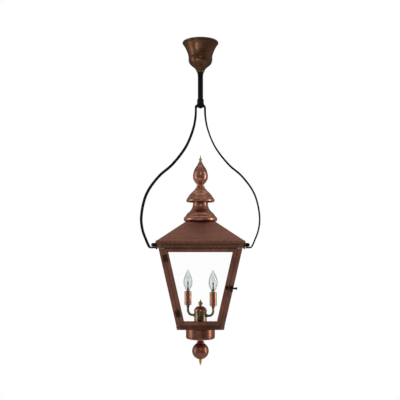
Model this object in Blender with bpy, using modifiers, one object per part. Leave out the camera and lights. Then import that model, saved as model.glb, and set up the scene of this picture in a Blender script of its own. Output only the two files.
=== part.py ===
"""Hanging copper lantern on a flat-bar yoke.

The origin is at the ceiling, on the centre line of the canopy. +Z is up and the door faces -Y.
Lengths are metres. Heights are measured from the ceiling, so they are negative.
"""
import math

import bmesh
import bpy
from mathutils import Matrix, Vector

MM = 0.001
GAP = 0.3 * MM
ROUND = 20
WIDE_ROUND = 24
SMALL_ROUND = 12

# Tapered body: half-width of the outer faces at two heights.
BODY_TOP_Z = -723.0 * MM
BODY_BOTTOM_Z = -1014.0 * MM
BODY_TOP_HALF = 142.5 * MM
BODY_BOTTOM_HALF = 78.5 * MM
TAPER = (BODY_TOP_HALF - BODY_BOTTOM_HALF) / (BODY_TOP_Z - BODY_BOTTOM_Z)
LEAN = math.atan(TAPER)

SHEET = 1.2 * MM
POST_WIDTH = 14.5 * MM
SEAM = 0.5 * MM
BAND_BOTTOM_Z = -738.0 * MM
COLLAR_HALF = BODY_TOP_HALF - 0.9 * MM
RAIL_TOP_Z = -1004.0 * MM
SILL_TOP_Z = -999.0 * MM

# Door in the front face.
STILE_WIDTH = 14.5 * MM
DOOR_THICK = 3.0 * MM
DOOR_TOP_Z = -739.3 * MM
DOOR_BOTTOM_Z = -998.5 * MM
DOOR_OPENING_TOP_Z = -751.5 * MM
DOOR_OPENING_BOTTOM_Z = -985.0 * MM
GLASS_THICK = 3.0 * MM
GLASS_LAP = 7.0 * MM

# Hinges on the left seam of the door.
HINGE_HEIGHTS = (-772.0 * MM, -958.0 * MM)
HINGE_HALF_LENGTH = 12.5 * MM
HINGE_MIDDLE_HALF = 4.0 * MM
LEAF_WIDTH = 8.0 * MM
LEAF_THICK = 1.0 * MM
LEAF_EDGE = 0.6 * MM
LEAF_NOTCH = 2.4 * MM
KNUCKLE_RADIUS = 2.0 * MM
KNUCKLE_BORE = 1.0 * MM
HINGE_STAND_OFF = 2.4 * MM

# Latch on the right seam of the door.
LATCH_Z = -871.0 * MM
LATCH_STAND_OFF = 5.6 * MM
BOLT_RADIUS = 3.2 * MM

# Ceiling fixing, pipe and yoke.
PIPE_RADIUS = 9.35 * MM
PIPE_BORE = 6.4 * MM
YOKE_THICK = 5.6 * MM
YOKE_WIDTH = 26.0 * MM
YOKE_TWIST = math.radians(4.7)
STRAP_HEIGHT = -233.3
FOOT_HEIGHT = -737.4
PIVOT_Z = -727.6 * MM
BOSS_RADIUS = 6.6 * MM
PIVOT_BOLT_RADIUS = 3.0 * MM

# Roof.
ROOF_TOP_HALF = 52.2 * MM
ROOF_TOP_Z = -647.6 * MM
EAVE_HALF = 145.2 * MM
EAVE_Z = -712.8 * MM
FASCIA_BOTTOM_Z = -722.8 * MM
ROSETTE_DEPTH = 14.4 * MM

# Ball under the cup, in millimetres.
BALL_HEIGHT = -1096.2
BALL_RADIUS = 29.0

# Lamps.
LAMP_RADIUS = 48.7 * MM
LAMP_TURN = math.radians(-25.0)
ARM_Z = -973.8 * MM
ARM_BEND = 17.0 * MM
ARM_RADIUS = 4.0 * MM
HUB_RADIUS = 21.8 * MM
CANDLE_TOP_Z = -892.0 * MM
CANDLE_BOTTOM_Z = -938.8 * MM
CANDLE_RADIUS = 12.2 * MM
CANDLE_WALL = 1.0 * MM
BASE_PLATE_TOP_Z = -1004.6 * MM


def clear_scene():
    for item in list(bpy.data.objects):
        bpy.data.objects.remove(item, do_unlink=True)


def new_collection(name):
    collection = bpy.data.collections.new(name)
    bpy.context.scene.collection.children.link(collection)
    return collection


clear_scene()
PARTS = new_collection("hanging_lantern")
CUTTERS = new_collection("cutters")


def finish(name, colour, roughness, metallic):
    made = bpy.data.materials.new(name)
    made.use_nodes = True
    shader = made.node_tree.nodes["Principled BSDF"]
    shader.inputs["Base Color"].default_value = (*colour, 1.0)
    shader.inputs["Roughness"].default_value = roughness
    shader.inputs["Metallic"].default_value = metallic
    return made


COPPER = finish("aged_copper", (0.13, 0.06, 0.04), 0.55, 0.9)
SPUN_COPPER = finish("spun_copper", (0.30, 0.14, 0.09), 0.35, 1.0)
BRONZE = finish("antique_bronze", (0.09, 0.05, 0.03), 0.35, 1.0)
BLACK = finish("black_iron", (0.01, 0.01, 0.01), 0.45, 0.3)
BRASS = finish("brass", (0.50, 0.33, 0.08), 0.3, 1.0)
OLIVE_BRASS = finish("olive_brass", (0.16, 0.15, 0.04), 0.35, 1.0)
ROSE_COPPER = finish("rose_copper", (0.60, 0.35, 0.25), 0.3, 1.0)
STEEL = finish("zinc_steel", (0.45, 0.45, 0.43), 0.4, 1.0)
DARK_BRASS = finish("dark_brass", (0.05, 0.04, 0.03), 0.4, 0.9)
PORCELAIN = finish("socket_plastic", (0.03, 0.03, 0.03), 0.5, 0.0)
CLEAR_GLASS = finish("clear_glass", (0.90, 0.93, 0.93), 0.05, 0.0)
BULB_GLASS = finish("bulb_glass", (0.80, 0.82, 0.83), 0.05, 0.0)


def empty(name, location, parent=None):
    made = bpy.data.objects.new(name, None)
    made.empty_display_size = 0.03
    made.parent = parent
    base = parent_origin(parent)
    made.location = Vector(location) - base
    PARTS.objects.link(made)
    return made


def parent_origin(parent):
    """World position of an unrotated empty."""
    total = Vector((0.0, 0.0, 0.0))
    while parent is not None:
        total += parent.location
        parent = parent.parent
    return total


def place(item, name, surface, body, matrix=None):
    """Name, colour and parent an object; matrix is its world placement."""
    placement = matrix or Matrix.Identity(4)
    item.name = name
    item.data.name = name
    item.data.materials.append(surface)
    item.parent = body
    item.location = placement.to_translation() - parent_origin(body)
    item.rotation_euler = placement.to_euler()
    return item


def new_object(name, data, collection):
    made = bpy.data.objects.new(name, data)
    collection.objects.link(made)
    return made


def mesh_from(name, bm):
    mesh = bpy.data.meshes.new(name)
    bm.to_mesh(mesh)
    bm.free()
    return mesh


def turned(name, profile, surface, body, steps=ROUND, wall=0.0, matrix=None, smooth=True):
    """Revolve (radius, height) points about Z.

    The points run down the outer side. With a wall they are the outer surface of a shell.
    Without one they are the whole outline: closed by the axis, or else by themselves.
    """
    bm = bmesh.new()
    corners = [bm.verts.new((radius, 0.0, height)) for radius, height in profile]
    for upper, lower in zip(corners, corners[1:]):
        bm.edges.new((upper, lower))
    if wall == 0.0 and profile[0][0] > 0.0:
        bm.edges.new((corners[-1], corners[0]))
    made = place(new_object(name, mesh_from(name, bm), PARTS), name, surface, body, matrix)
    screw = made.modifiers.new("turn", "SCREW")
    screw.steps = steps
    screw.render_steps = steps
    screw.use_merge_vertices = True
    screw.merge_threshold = 0.00001
    screw.use_smooth_shade = smooth
    if wall > 0.0:
        add_wall(made, wall, -1.0)
    return made


def add_wall(item, thickness, offset):
    wall = item.modifiers.new("wall", "SOLIDIFY")
    wall.thickness = thickness
    wall.offset = offset
    wall.use_even_offset = True


def square_shell(name, profile, surface, body, wall):
    """A shell of square plan: a four-step turning whose radius reaches the corners."""
    corners = [(half * math.sqrt(2.0), height) for half, height in profile]
    turn = Matrix.Rotation(math.radians(45.0), 4, "Z")
    return turned(name, corners, surface, body, steps=4, wall=wall, matrix=turn, smooth=False)


def tube(name, points, radius, surface, body, matrix=None):
    curve = bpy.data.curves.new(name, "CURVE")
    curve.dimensions = "3D"
    curve.bevel_depth = radius
    curve.bevel_resolution = 3
    curve.use_fill_caps = True
    spline = curve.splines.new("POLY")
    spline.points.add(len(points) - 1)
    for knot, point in zip(spline.points, points):
        knot.co = (*point, 1.0)
    return place(new_object(name, curve, PARTS), name, surface, body, matrix)


def flat_outline(name, loops, thickness, surface, body, matrix):
    """A flat plate with the given outer outline and holes, centred on its own XY plane."""
    curve = bpy.data.curves.new(name, "CURVE")
    curve.dimensions = "2D"
    curve.fill_mode = "BOTH"
    curve.extrude = thickness / 2.0
    for loop in loops:
        spline = curve.splines.new("POLY")
        spline.points.add(len(loop) - 1)
        for knot, point in zip(spline.points, loop):
            knot.co = (point[0], point[1], 0.0, 1.0)
        spline.use_cyclic_u = True
    return place(new_object(name, curve, PARTS), name, surface, body, matrix)


def as_mesh(item):
    """Turn a curve object into a welded mesh object that Booleans can cut."""
    bpy.context.view_layer.update()
    evaluated = item.evaluated_get(bpy.context.evaluated_depsgraph_get())
    mesh = bpy.data.meshes.new_from_object(evaluated)
    bm = bmesh.new()
    bm.from_mesh(mesh)
    bmesh.ops.remove_doubles(bm, verts=bm.verts, dist=0.00001)
    bm.to_mesh(mesh)
    bm.free()
    name = item.name
    parent = item.parent
    location = item.location.copy()
    rotation = item.rotation_euler.copy()
    bpy.data.objects.remove(item, do_unlink=True)
    made = new_object(name, mesh, PARTS)
    mesh.name = name
    made.parent = parent
    made.location = location
    made.rotation_euler = rotation
    return made


def helper_cylinder(name, radius, length, matrix):
    bm = bmesh.new()
    bmesh.ops.create_cone(bm, cap_ends=True, segments=SMALL_ROUND, radius1=radius,
                          radius2=radius, depth=length)
    return hidden_helper(name, bm, matrix)


def helper_block(name, low, high, matrix):
    bm = bmesh.new()
    size = [b - a for a, b in zip(low, high)]
    middle = [(a + b) / 2.0 for a, b in zip(low, high)]
    frame = Matrix.Translation(middle) @ Matrix.Diagonal((*size, 1.0))
    bmesh.ops.create_cube(bm, size=1.0, matrix=frame)
    return hidden_helper(name, bm, matrix)


def hidden_helper(name, bm, matrix):
    made = new_object(name, mesh_from(name, bm), CUTTERS)
    made.location = matrix.to_translation()
    made.rotation_euler = matrix.to_euler()
    made.hide_render = True
    made.display_type = "WIRE"
    return made


def combine(item, helper, operation):
    step = item.modifiers.new(helper.name, "BOOLEAN")
    step.operation = operation
    step.solver = "EXACT"
    step.object = helper


def drill(item, radius, length, matrix):
    combine(item, helper_cylinder(item.name + "_hole", radius, length, matrix), "DIFFERENCE")


def ribbon(name, path, width, thickness, surface, body, twist=0.0):
    """A flat bar bent along a path of (x, z) points; its width lies along Y, turned by twist."""
    bm = bmesh.new()
    across = Vector((math.sin(twist), math.cos(twist), 0.0)) * width
    corners = [bm.verts.new(Vector((x, 0.0, z)) - across / 2.0) for x, z in path]
    edges = [bm.edges.new(pair) for pair in zip(corners, corners[1:])]
    grown = bmesh.ops.extrude_edge_only(bm, edges=edges)["geom"]
    moved = [part for part in grown if isinstance(part, bmesh.types.BMVert)]
    bmesh.ops.translate(bm, verts=moved, vec=across)
    made = place(new_object(name, mesh_from(name, bm), PARTS), name, surface, body)
    add_wall(made, thickness, 0.0)
    return made


def smooth_path(knots, pieces):
    """Points on a Catmull-Rom curve through the knots."""
    ends = [knots[0], *knots, knots[-1]]
    points = []
    for a, b, c, d in zip(ends, ends[1:], ends[2:], ends[3:]):
        for step in range(pieces):
            t = step / pieces
            points.append(tuple(
                0.5 * (2.0 * q + (r - p) * t + (2.0 * p - 5.0 * q + 4.0 * r - s) * t * t
                       + (3.0 * q - p - 3.0 * r + s) * t ** 3)
                for p, q, r, s in zip(a, b, c, d)))
    points.append(knots[-1])
    return points


def arc(centre, radius, start, end, pieces):
    """Points on an arc; angles in degrees."""
    points = []
    for step in range(pieces + 1):
        angle = math.radians(start + (end - start) * step / pieces)
        points.append((centre[0] + radius * math.cos(angle), centre[1] + radius * math.sin(angle)))
    return points


def scaled(points):
    return [tuple(value * MM for value in point) for point in points]


def half_width(z):
    """Half-width of the body's outer faces at height z."""
    return BODY_TOP_HALF + TAPER * (z - BODY_TOP_Z)


def face_matrix(quarter, depth=0.0):
    """Frame of one body face: X across, Y up the slope, Z out; its origin is at z BODY_TOP_Z."""
    turn = Matrix.Rotation(math.radians(90.0 * quarter), 4, "Z")
    slope = Matrix.Rotation(math.radians(90.0) + LEAN, 4, "X")
    origin = Matrix.Translation((0.0, -BODY_TOP_HALF, BODY_TOP_Z))
    return turn @ origin @ slope @ Matrix.Translation((0.0, 0.0, -depth))


def up_slope(z):
    """Distance along a face from its frame's origin to height z."""
    return (z - BODY_TOP_Z) / math.cos(LEAN)


def face_loop(top_z, bottom_z, inset):
    """A trapezoid on a face, inset from the body's corners."""
    top = half_width(top_z) - inset
    bottom = half_width(bottom_z) - inset
    return [(-bottom, up_slope(bottom_z)), (bottom, up_slope(bottom_z)),
            (top, up_slope(top_z)), (-top, up_slope(top_z))]


def seam_matrix(z):
    """Frame on the left door seam: X towards the door, Y up the seam, Z out, at the pin's axis."""
    across = -(half_width(z) - POST_WIDTH - SEAM / 2.0)
    tilt = math.atan(TAPER * math.cos(LEAN))
    spot = Matrix.Translation((across, up_slope(z), HINGE_STAND_OFF))
    return face_matrix(0) @ spot @ Matrix.Rotation(tilt, 4, "Z")


def along_x(x, y, z):
    """Frame at a point, with its Z axis along world X."""
    return Matrix.Translation((x, y, z)) @ Matrix.Rotation(math.radians(90.0), 4, "Y")


def pivot_frame(label):
    """Frame on the tilt axis, with its Z axis pointing out of the named side."""
    frame = along_x(0.0, 0.0, PIVOT_Z)
    if label == "left":
        return Matrix.Rotation(math.radians(180.0), 4, "Z") @ frame
    return frame


# ---- Bodies, each on its joint's axis ----

STEM = empty("stem_axis", (0.0, 0.0, -38.0 * MM))
CANOPY = empty("canopy_axis", (0.0, 0.0, 0.0))
LANTERN = empty("tilt_axis", (0.0, 0.0, PIVOT_Z), STEM)
DOOR = empty("door_axis", seam_matrix(HINGE_HEIGHTS[0]).to_translation(), LANTERN)
LATCH_X = half_width(LATCH_Z) - POST_WIDTH - SEAM / 2.0
LATCH_FRAME = face_matrix(0) @ Matrix.Translation((LATCH_X, up_slope(LATCH_Z), 0.0))
BOLT_SPOT = (LATCH_FRAME @ Matrix.Translation((0.0, 0.0, LATCH_STAND_OFF))).to_translation()
LATCH = empty("latch_axis", BOLT_SPOT, LANTERN)


# ---- Ceiling fixing ----

def make_crossbar():
    half_length, half_wide, corner = 51.0 * MM, 10.0 * MM, 4.0 * MM
    outline = []
    for sx, sy, start in ((1, -1, -90), (1, 1, 0), (-1, 1, 90), (-1, -1, 180)):
        spot = (sx * (half_length - corner), sy * (half_wide - corner))
        outline += arc(spot, corner, start, start + 90, 3)
    hole = arc((0.0, 0.0), 6.9 * MM, 0, 337.5, 15)
    slots = []
    for side in (-1, 1):
        near, far = side * 33.0 * MM, side * 44.0 * MM
        slots.append(arc((far, 0.0), 2.3 * MM, -90 * side, 90 * side, 5)
                     + arc((near, 0.0), 2.3 * MM, 90 * side, 270 * side, 5))
    middle = Matrix.Translation((0.0, 0.0, -1.5 * MM))
    flat_outline("ceiling_crossbar", [outline, hole, *slots], 3.0 * MM, STEEL, None, middle)


def make_ceiling_fixing():
    make_crossbar()
    turned("flanged_nipple", scaled([
        (6.6, -0.5), (6.6, -3.4), (11, -3.4), (11, -6.4), (6.6, -6.4), (6.6, -26), (4.6, -26),
        (4.6, -0.5)]), BRASS, None, steps=SMALL_ROUND)
    turned("swivel_housing", scaled([
        (9.5, -12), (9.5, -24), (15, -27), (15, -43), (6.5, -43), (6.5, -38.5), (10.5, -38.5),
        (10.5, -31), (6.9, -31), (6.9, -12)]), BRASS, None, steps=16)


# ---- Pipe and yoke ----

def yoke_path():
    """Centre line of the yoke's right arm, from the middle of the strap to the foot's end."""
    strap = [(0.0, STRAP_HEIGHT), (11.5, STRAP_HEIGHT)]
    corner = arc((11.7, STRAP_HEIGHT - 4.8), 4.8, 78, 12, 3)
    arm = smooth_path([
        (16.2, -241.0), (17.4, -270.8), (25.2, -313.7), (51.4, -378.8), (99.6, -442.7),
        (148.2, -486.3), (191.6, -549.6), (209.0, -630.0), (203.9, -677.0), (188.0, -719.3)], 3)
    bend = arc((173.0, FOOT_HEIGHT + 10.0), 10.0, -25, -90, 4)
    foot_end = (EAVE_HALF + ROSETTE_DEPTH) / MM + 0.6
    return scaled(strap + corner + arm + bend + [(foot_end, FOOT_HEIGHT)])


def make_stem():
    turned("swivel_stud", scaled([
        (10, -34), (10, -38), (6, -38), (6, -46), (10.7, -48), (10.7, -114), (9.4, -125),
        (3.8, -125), (3.8, -34)]), BLACK, STEM, steps=16)
    turned("stem", [(PIPE_RADIUS, -125.4 * MM), (PIPE_RADIUS, -206.8 * MM),
                    (PIPE_BORE, -206.8 * MM), (PIPE_BORE, -125.4 * MM)], BLACK, STEM)
    turned("yoke_collar", scaled([
        (9.6, -207.2), (11.9, -210.5), (11.9, -222), (13.6, -227), (13.6, -230.1), (6.4, -230.1),
        (6.4, -207.2)]), BLACK, STEM)


def make_yoke():
    right = yoke_path()
    left = [(-x, z) for x, z in reversed(right[1:])]
    yoke = ribbon("yoke", left + right, YOKE_WIDTH, YOKE_THICK, BLACK, STEM, YOKE_TWIST)
    drill(yoke, 5.0 * MM, 12.0 * MM, Matrix.Translation((0.0, 0.0, STRAP_HEIGHT * MM)))
    start, end = EAVE_HALF + ROSETTE_DEPTH + 0.4 * MM, 170.0 * MM
    bore = PIVOT_BOLT_RADIUS + GAP
    outline = [(BOSS_RADIUS, end), (BOSS_RADIUS, start), (bore, start), (bore, end)]
    for label in ("left", "right"):
        turned("pivot_boss_" + label, outline, BLACK, STEM, steps=SMALL_ROUND,
               matrix=pivot_frame(label))


# ---- Canopy ----

def make_canopy():
    turned("canopy", scaled([
        (61.5, -0.6), (64.0, -2.6), (64.5, -5.5), (62.2, -9.5), (57.2, -16.5), (50, -31),
        (44.8, -45.5), (42.4, -60), (40.9, -74), (37.8, -81.7), (28.5, -89.5), (20.3, -96.7),
        (15.4, -103.6), (11.7, -104.2)]), BRONZE, CANOPY, steps=WIDE_ROUND, wall=SHEET)
    turned("canopy_ring", scaled([
        (14.9, -104.6), (14.9, -107.2), (12.7, -111.7), (11.3, -111.7), (11.3, -104.6)]), BRASS,
        CANOPY, steps=ROUND)


# ---- Roof, chimney, cap and finial ----

def make_roof():
    square_shell("roof", [
        (34.0 * MM, ROOF_TOP_Z), (ROOF_TOP_HALF, ROOF_TOP_Z), (EAVE_HALF, EAVE_Z),
        (EAVE_HALF, FASCIA_BOTTOM_Z)], COPPER, LANTERN, SHEET)
    turned("chimney", scaled([
        (26.6, -568), (26.6, -582), (27.2, -588), (29.2, -596), (34, -605), (40.6, -613.7),
        (49.4, -622.6), (55.9, -631.4), (59.4, -638), (58.6, -642.5), (54, -645.6),
        (49, -647.1)]), SPUN_COPPER, LANTERN, wall=SHEET)
    spider = ribbon("cap_spider", scaled([(-23.6, -584), (-23.6, -575), (23.6, -575),
                                          (23.6, -584)]), 10.0 * MM, 1.5 * MM, STEEL, LANTERN)
    drill(spider, 2.4 * MM, 12.0 * MM, Matrix.Translation((0.0, 0.0, -575.0 * MM)))
    turned("dome_cap", scaled([
        (2.6, -518.8), (13.4, -518.8), (15, -521), (12.6, -524), (15.4, -527), (19.8, -531.6),
        (25, -537.4), (31, -543.4), (37.4, -549.8), (42.2, -556.7), (46.2, -563.7),
        (49.8, -569), (50.3, -572), (49, -575.2), (46.2, -577)]), SPUN_COPPER, LANTERN,
        wall=0.9 * MM)


def make_finial():
    turned("finial_rod", scaled([
        (0, -432), (2, -432), (2, -520.4), (4, -520.4), (4, -523), (2, -523), (2, -570.8),
        (4, -570.8), (4, -573.9), (2, -573.9), (2, -576.2), (4, -576.2), (4, -579.5),
        (0, -579.5)]), BRASS, LANTERN, steps=10)
    turned("finial_lower", scaled([
        (26, -481), (26.6, -487), (26, -493), (23.9, -498.4), (18.6, -507.3), (13, -513.4),
        (10.6, -518.4), (2.6, -518.5)]), SPUN_COPPER, LANTERN, wall=0.9 * MM)
    turned("finial_upper", scaled([
        (2.6, -434.4), (6, -434.5), (7.4, -437), (11.2, -445), (17, -453.8), (21.9, -462.7),
        (24.8, -471.7), (25.9, -480.6)]), SPUN_COPPER, LANTERN, wall=0.9 * MM)
    turned("finial_tip", scaled([
        (0, -409), (1.2, -412.5), (2.2, -419), (3.4, -422.5), (6.4, -424.5), (6.4, -426.5),
        (3.6, -428), (4.6, -431), (4.2, -434.1), (2.3, -434.1), (2.3, -431.6), (0, -431.6)]),
        BRASS, LANTERN, steps=SMALL_ROUND)


# ---- Body frame ----

def make_top_frame():
    bottom_half = half_width(BAND_BOTTOM_Z)
    frame = square_shell("top_frame", [
        (COLLAR_HALF, -716.0 * MM), (COLLAR_HALF, BODY_TOP_Z - 1.5 * MM),
        (bottom_half, BAND_BOTTOM_Z)], COPPER, LANTERN, 2.0 * MM)
    for side in (-1, 1):
        spot = along_x(side * (COLLAR_HALF - 4.0 * MM), 0.0, PIVOT_Z)
        boss = helper_cylinder("weld_nut", 6.5 * MM, 6.0 * MM, spot)
        combine(frame, boss, "UNION")
    hole = helper_cylinder("bolt_hole", PIVOT_BOLT_RADIUS + GAP, 320.0 * MM,
                           along_x(0.0, 0.0, PIVOT_Z))
    combine(frame, hole, "DIFFERENCE")


def make_corner_posts():
    """Four angle-section posts, each a sheared prism that follows the taper of its corner."""
    top_z = BAND_BOTTOM_Z - GAP
    bottom_z = RAIL_TOP_Z + 2.0 * GAP
    labels = ("front_left", "front_right", "back_right", "back_left")
    for quarter, label in enumerate(labels):
        bm = bmesh.new()
        edge = half_width(bottom_z)
        inner, wide = edge - SHEET, edge - POST_WIDTH
        outline = [(-edge, -edge), (-wide, -edge), (-wide, -inner), (-inner, -inner),
                   (-inner, -wide), (-edge, -wide)]
        face = bm.faces.new([bm.verts.new((x, y, bottom_z)) for x, y in outline])
        grown = bmesh.ops.extrude_face_region(bm, geom=[face])["geom"]
        moved = [part for part in grown if isinstance(part, bmesh.types.BMVert)]
        shift = half_width(top_z) - edge
        bmesh.ops.translate(bm, verts=moved, vec=(-shift, -shift, top_z - bottom_z))
        bmesh.ops.recalc_face_normals(bm, faces=bm.faces)
        turn = Matrix.Rotation(math.radians(90.0 * quarter), 4, "Z")
        name = "corner_post_" + label
        place(new_object(name, mesh_from(name, bm), PARTS), name, COPPER, LANTERN, turn)


def make_base():
    frame = square_shell("base_frame", [
        (half_width(RAIL_TOP_Z), RAIL_TOP_Z), (BODY_BOTTOM_HALF, BODY_BOTTOM_Z),
        (34.0 * MM, BODY_BOTTOM_Z)], COPPER, LANTERN, SHEET)
    sill_loop = face_loop(SILL_TOP_Z, RAIL_TOP_Z - 1.0 * MM, POST_WIDTH + GAP)
    sill = flat_outline("door_sill", [sill_loop], 1.1 * MM, COPPER, LANTERN,
                        face_matrix(0, 0.6 * MM))
    sill = as_mesh(sill)
    PARTS.objects.unlink(sill)
    CUTTERS.objects.link(sill)
    sill.hide_render = True
    sill.display_type = "WIRE"
    combine(frame, sill, "UNION")
    plate_half = BODY_BOTTOM_HALF + 0.1 * MM
    plate_loop = [(-plate_half, -plate_half), (plate_half, -plate_half),
                  (plate_half, plate_half), (-plate_half, plate_half)]
    hole = arc((0.0, 0.0), 2.6 * MM, 0, 330, 11)
    middle = Matrix.Translation((0.0, 0.0, BASE_PLATE_TOP_Z - 0.75 * MM))
    flat_outline("base_plate", [plate_loop, hole], 1.5 * MM, COPPER, LANTERN, middle)


def make_fixed_glass():
    for quarter, label in ((1, "right"), (2, "back"), (3, "left")):
        loop = face_loop(BAND_BOTTOM_Z - 2.5 * MM, RAIL_TOP_Z + GAP, 8.0 * MM)
        depth = SHEET + GAP + GLASS_THICK / 2.0
        flat_outline("glass_" + label, [loop], GLASS_THICK, CLEAR_GLASS, LANTERN,
                     face_matrix(quarter, depth))


def make_pivots():
    bore = (PIVOT_BOLT_RADIUS + GAP) / MM
    for label in ("left", "right"):
        frame = pivot_frame(label)
        turned("rosette_" + label, scaled([
            (8.0, 14.4), (12.5, 12.8), (16.4, 10.4), (17.0, 8.6), (15.0, 6.6), (9.5, 4.0),
            (8.6, 0.4), (4.5, 0.4), (4.5, -2.8), (bore, -2.8), (bore, 14.4)]),
            COPPER, LANTERN, steps=16, matrix=frame @ Matrix.Translation((0.0, 0.0, EAVE_HALF)))
        turned("pivot_bolt_" + label, scaled([
            (0, 173.6), (4.6, 173.6), (5.4, 172.6), (5.4, 170.4), (3, 170.4), (3, 133),
            (0, 133)]), STEEL, LANTERN, steps=12, matrix=frame)


# ---- Door, hinges and latch ----

def make_door():
    inset = POST_WIDTH + SEAM
    outer = face_loop(DOOR_TOP_Z, DOOR_BOTTOM_Z, inset)
    opening = face_loop(DOOR_OPENING_TOP_Z, DOOR_OPENING_BOTTOM_Z, inset + STILE_WIDTH)
    flat_outline("door_frame", [outer, opening], DOOR_THICK, COPPER, DOOR,
                 face_matrix(0, DOOR_THICK / 2.0))
    pane = face_loop(DOOR_OPENING_TOP_Z + GLASS_LAP, DOOR_OPENING_BOTTOM_Z - GLASS_LAP,
                     inset + STILE_WIDTH - GLASS_LAP)
    flat_outline("door_glass", [pane], GLASS_THICK, CLEAR_GLASS, DOOR,
                 face_matrix(0, DOOR_THICK + GAP + GLASS_THICK / 2.0))


def make_hinge_leaf(name, z, outline, knuckles, body):
    """One leaf of a butt hinge, joined to its knuckles and bored for the pin."""
    frame = seam_matrix(z)
    depth = GAP + LEAF_THICK / 2.0 - HINGE_STAND_OFF
    leaf = as_mesh(flat_outline(name, [outline], LEAF_THICK, DARK_BRASS, body,
                                frame @ Matrix.Translation((0.0, 0.0, depth))))
    upright = Matrix.Rotation(math.radians(90.0), 4, "X")
    for low, high in knuckles:
        spot = frame @ Matrix.Translation((0.0, (low + high) / 2.0, 0.0)) @ upright
        length = high - low - 0.2 * MM
        knuckle = helper_cylinder(name + "_knuckle", KNUCKLE_RADIUS, length, spot)
        combine(leaf, knuckle, "UNION")
    drill(leaf, KNUCKLE_BORE, 40.0 * MM, frame @ upright)


def make_hinges():
    end, half = HINGE_HALF_LENGTH, HINGE_MIDDLE_HALF
    clear = half + GAP
    post_outline = [(-LEAF_WIDTH, -end), (-LEAF_EDGE, -end), (-LEAF_EDGE, -clear),
                    (-LEAF_NOTCH, -clear), (-LEAF_NOTCH, clear), (-LEAF_EDGE, clear),
                    (-LEAF_EDGE, end), (-LEAF_WIDTH, end)]
    door_outline = [(LEAF_WIDTH, -end), (LEAF_WIDTH, end), (LEAF_NOTCH, end), (LEAF_NOTCH, half),
                    (LEAF_EDGE, half), (LEAF_EDGE, -half), (LEAF_NOTCH, -half),
                    (LEAF_NOTCH, -end)]
    for z, label in zip(HINGE_HEIGHTS, ("upper", "lower")):
        make_hinge_leaf("post_leaf_" + label, z, post_outline, ((-end, -clear), (clear, end)),
                        LANTERN)
        make_hinge_leaf("door_leaf_" + label, z, door_outline, ((-half, half),), DOOR)
        upright = Matrix.Rotation(math.radians(-90.0), 4, "X")
        turned("hinge_pin_" + label, scaled([
            (0, 14.4), (1.0, 14.2), (1.5, 13.6), (1.5, 12.8), (0.7, 12.8), (0.7, -12.8),
            (1.5, -12.8), (1.5, -13.6), (1.0, -14.2), (0, -14.4)]), DARK_BRASS, LANTERN,
            steps=10, matrix=seam_matrix(z) @ upright)


def make_latch_block(name, plate, block, body):
    """A screwed plate with a raised block, bored along X for the bolt."""
    low, high = plate
    loop = [(low[0], low[1]), (high[0], low[1]), (high[0], high[1]), (low[0], high[1])]
    item = as_mesh(flat_outline(name, [scaled(loop)], 1.0 * MM, DARK_BRASS, body,
                                LATCH_FRAME @ Matrix.Translation((0.0, 0.0, 0.8 * MM))))
    raised = helper_block(name + "_block", *scaled(block), LATCH_FRAME)
    combine(item, raised, "UNION")
    centre = LATCH_FRAME @ Matrix.Translation((0.0, 0.0, LATCH_STAND_OFF))
    across = centre @ Matrix.Rotation(math.radians(90.0), 4, "Y")
    drill(item, BOLT_RADIUS + GAP, 60.0 * MM, across)


def make_latch():
    make_latch_block("latch_guide", ((1.9, -13.0), (13.2, 6.5)),
                     ((3.4, -5.4, 1.0), (12.0, 5.4, 10.2)), LANTERN)
    make_latch_block("latch_keeper", ((-12.0, -6.5), (-2.2, 6.5)),
                     ((-9.6, -5.0, 1.0), (-3.4, 5.0, 10.0)), DOOR)
    axis = Matrix.Translation(BOLT_SPOT) @ Matrix.Rotation(math.radians(90.0), 4, "Y")
    turned("latch_bolt", scaled([
        (0, 27.2), (3.2, 27.0), (4.3, 25.8), (4.3, 22.4), (3.2, 21.6), (3.2, 1.6), (2.2, 0.4),
        (0, 0.4)]), DARK_BRASS, LATCH, steps=14, matrix=axis)


# ---- Bottom cup, ball and rod ----

def ball_profile(start, end, pieces):
    return scaled(arc((0.0, BALL_HEIGHT), BALL_RADIUS, start, end, pieces))


def make_bottom():
    turned("bottom_cup", scaled([
        (50.5, -1014.4), (50.5, -1047), (49.2, -1051.6), (45, -1053.9), (26, -1055),
        (2.6, -1056)]), SPUN_COPPER, LANTERN, steps=WIDE_ROUND, wall=SHEET)
    upper = scaled([(2.6, -1056.4), (10.8, -1056.5), (10.8, -1063), (13, -1067.6)])
    turned("ball_upper", upper + ball_profile(60, -4, 5), SPUN_COPPER, LANTERN, wall=0.9 * MM)
    turned("ball_lower", ball_profile(-5, -80, 6) + scaled([(2.6, -1125.2)]), SPUN_COPPER,
           LANTERN, wall=0.9 * MM)
    turned("bottom_tip", scaled([
        (0, -1130.2), (2.3, -1130.2), (2.3, -1125.5), (5.4, -1125.5), (5.4, -1130),
        (3.8, -1132.6), (4.6, -1135), (4.2, -1138), (2, -1140.4), (1.7, -1143.5),
        (0, -1146.6)]), BRASS, LANTERN, steps=SMALL_ROUND)
    turned("centre_rod", scaled([(0, -934), (2, -934), (2, -1129.8), (0, -1129.8)]), BRASS,
           LANTERN, steps=10)


# ---- Lamps ----

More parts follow.
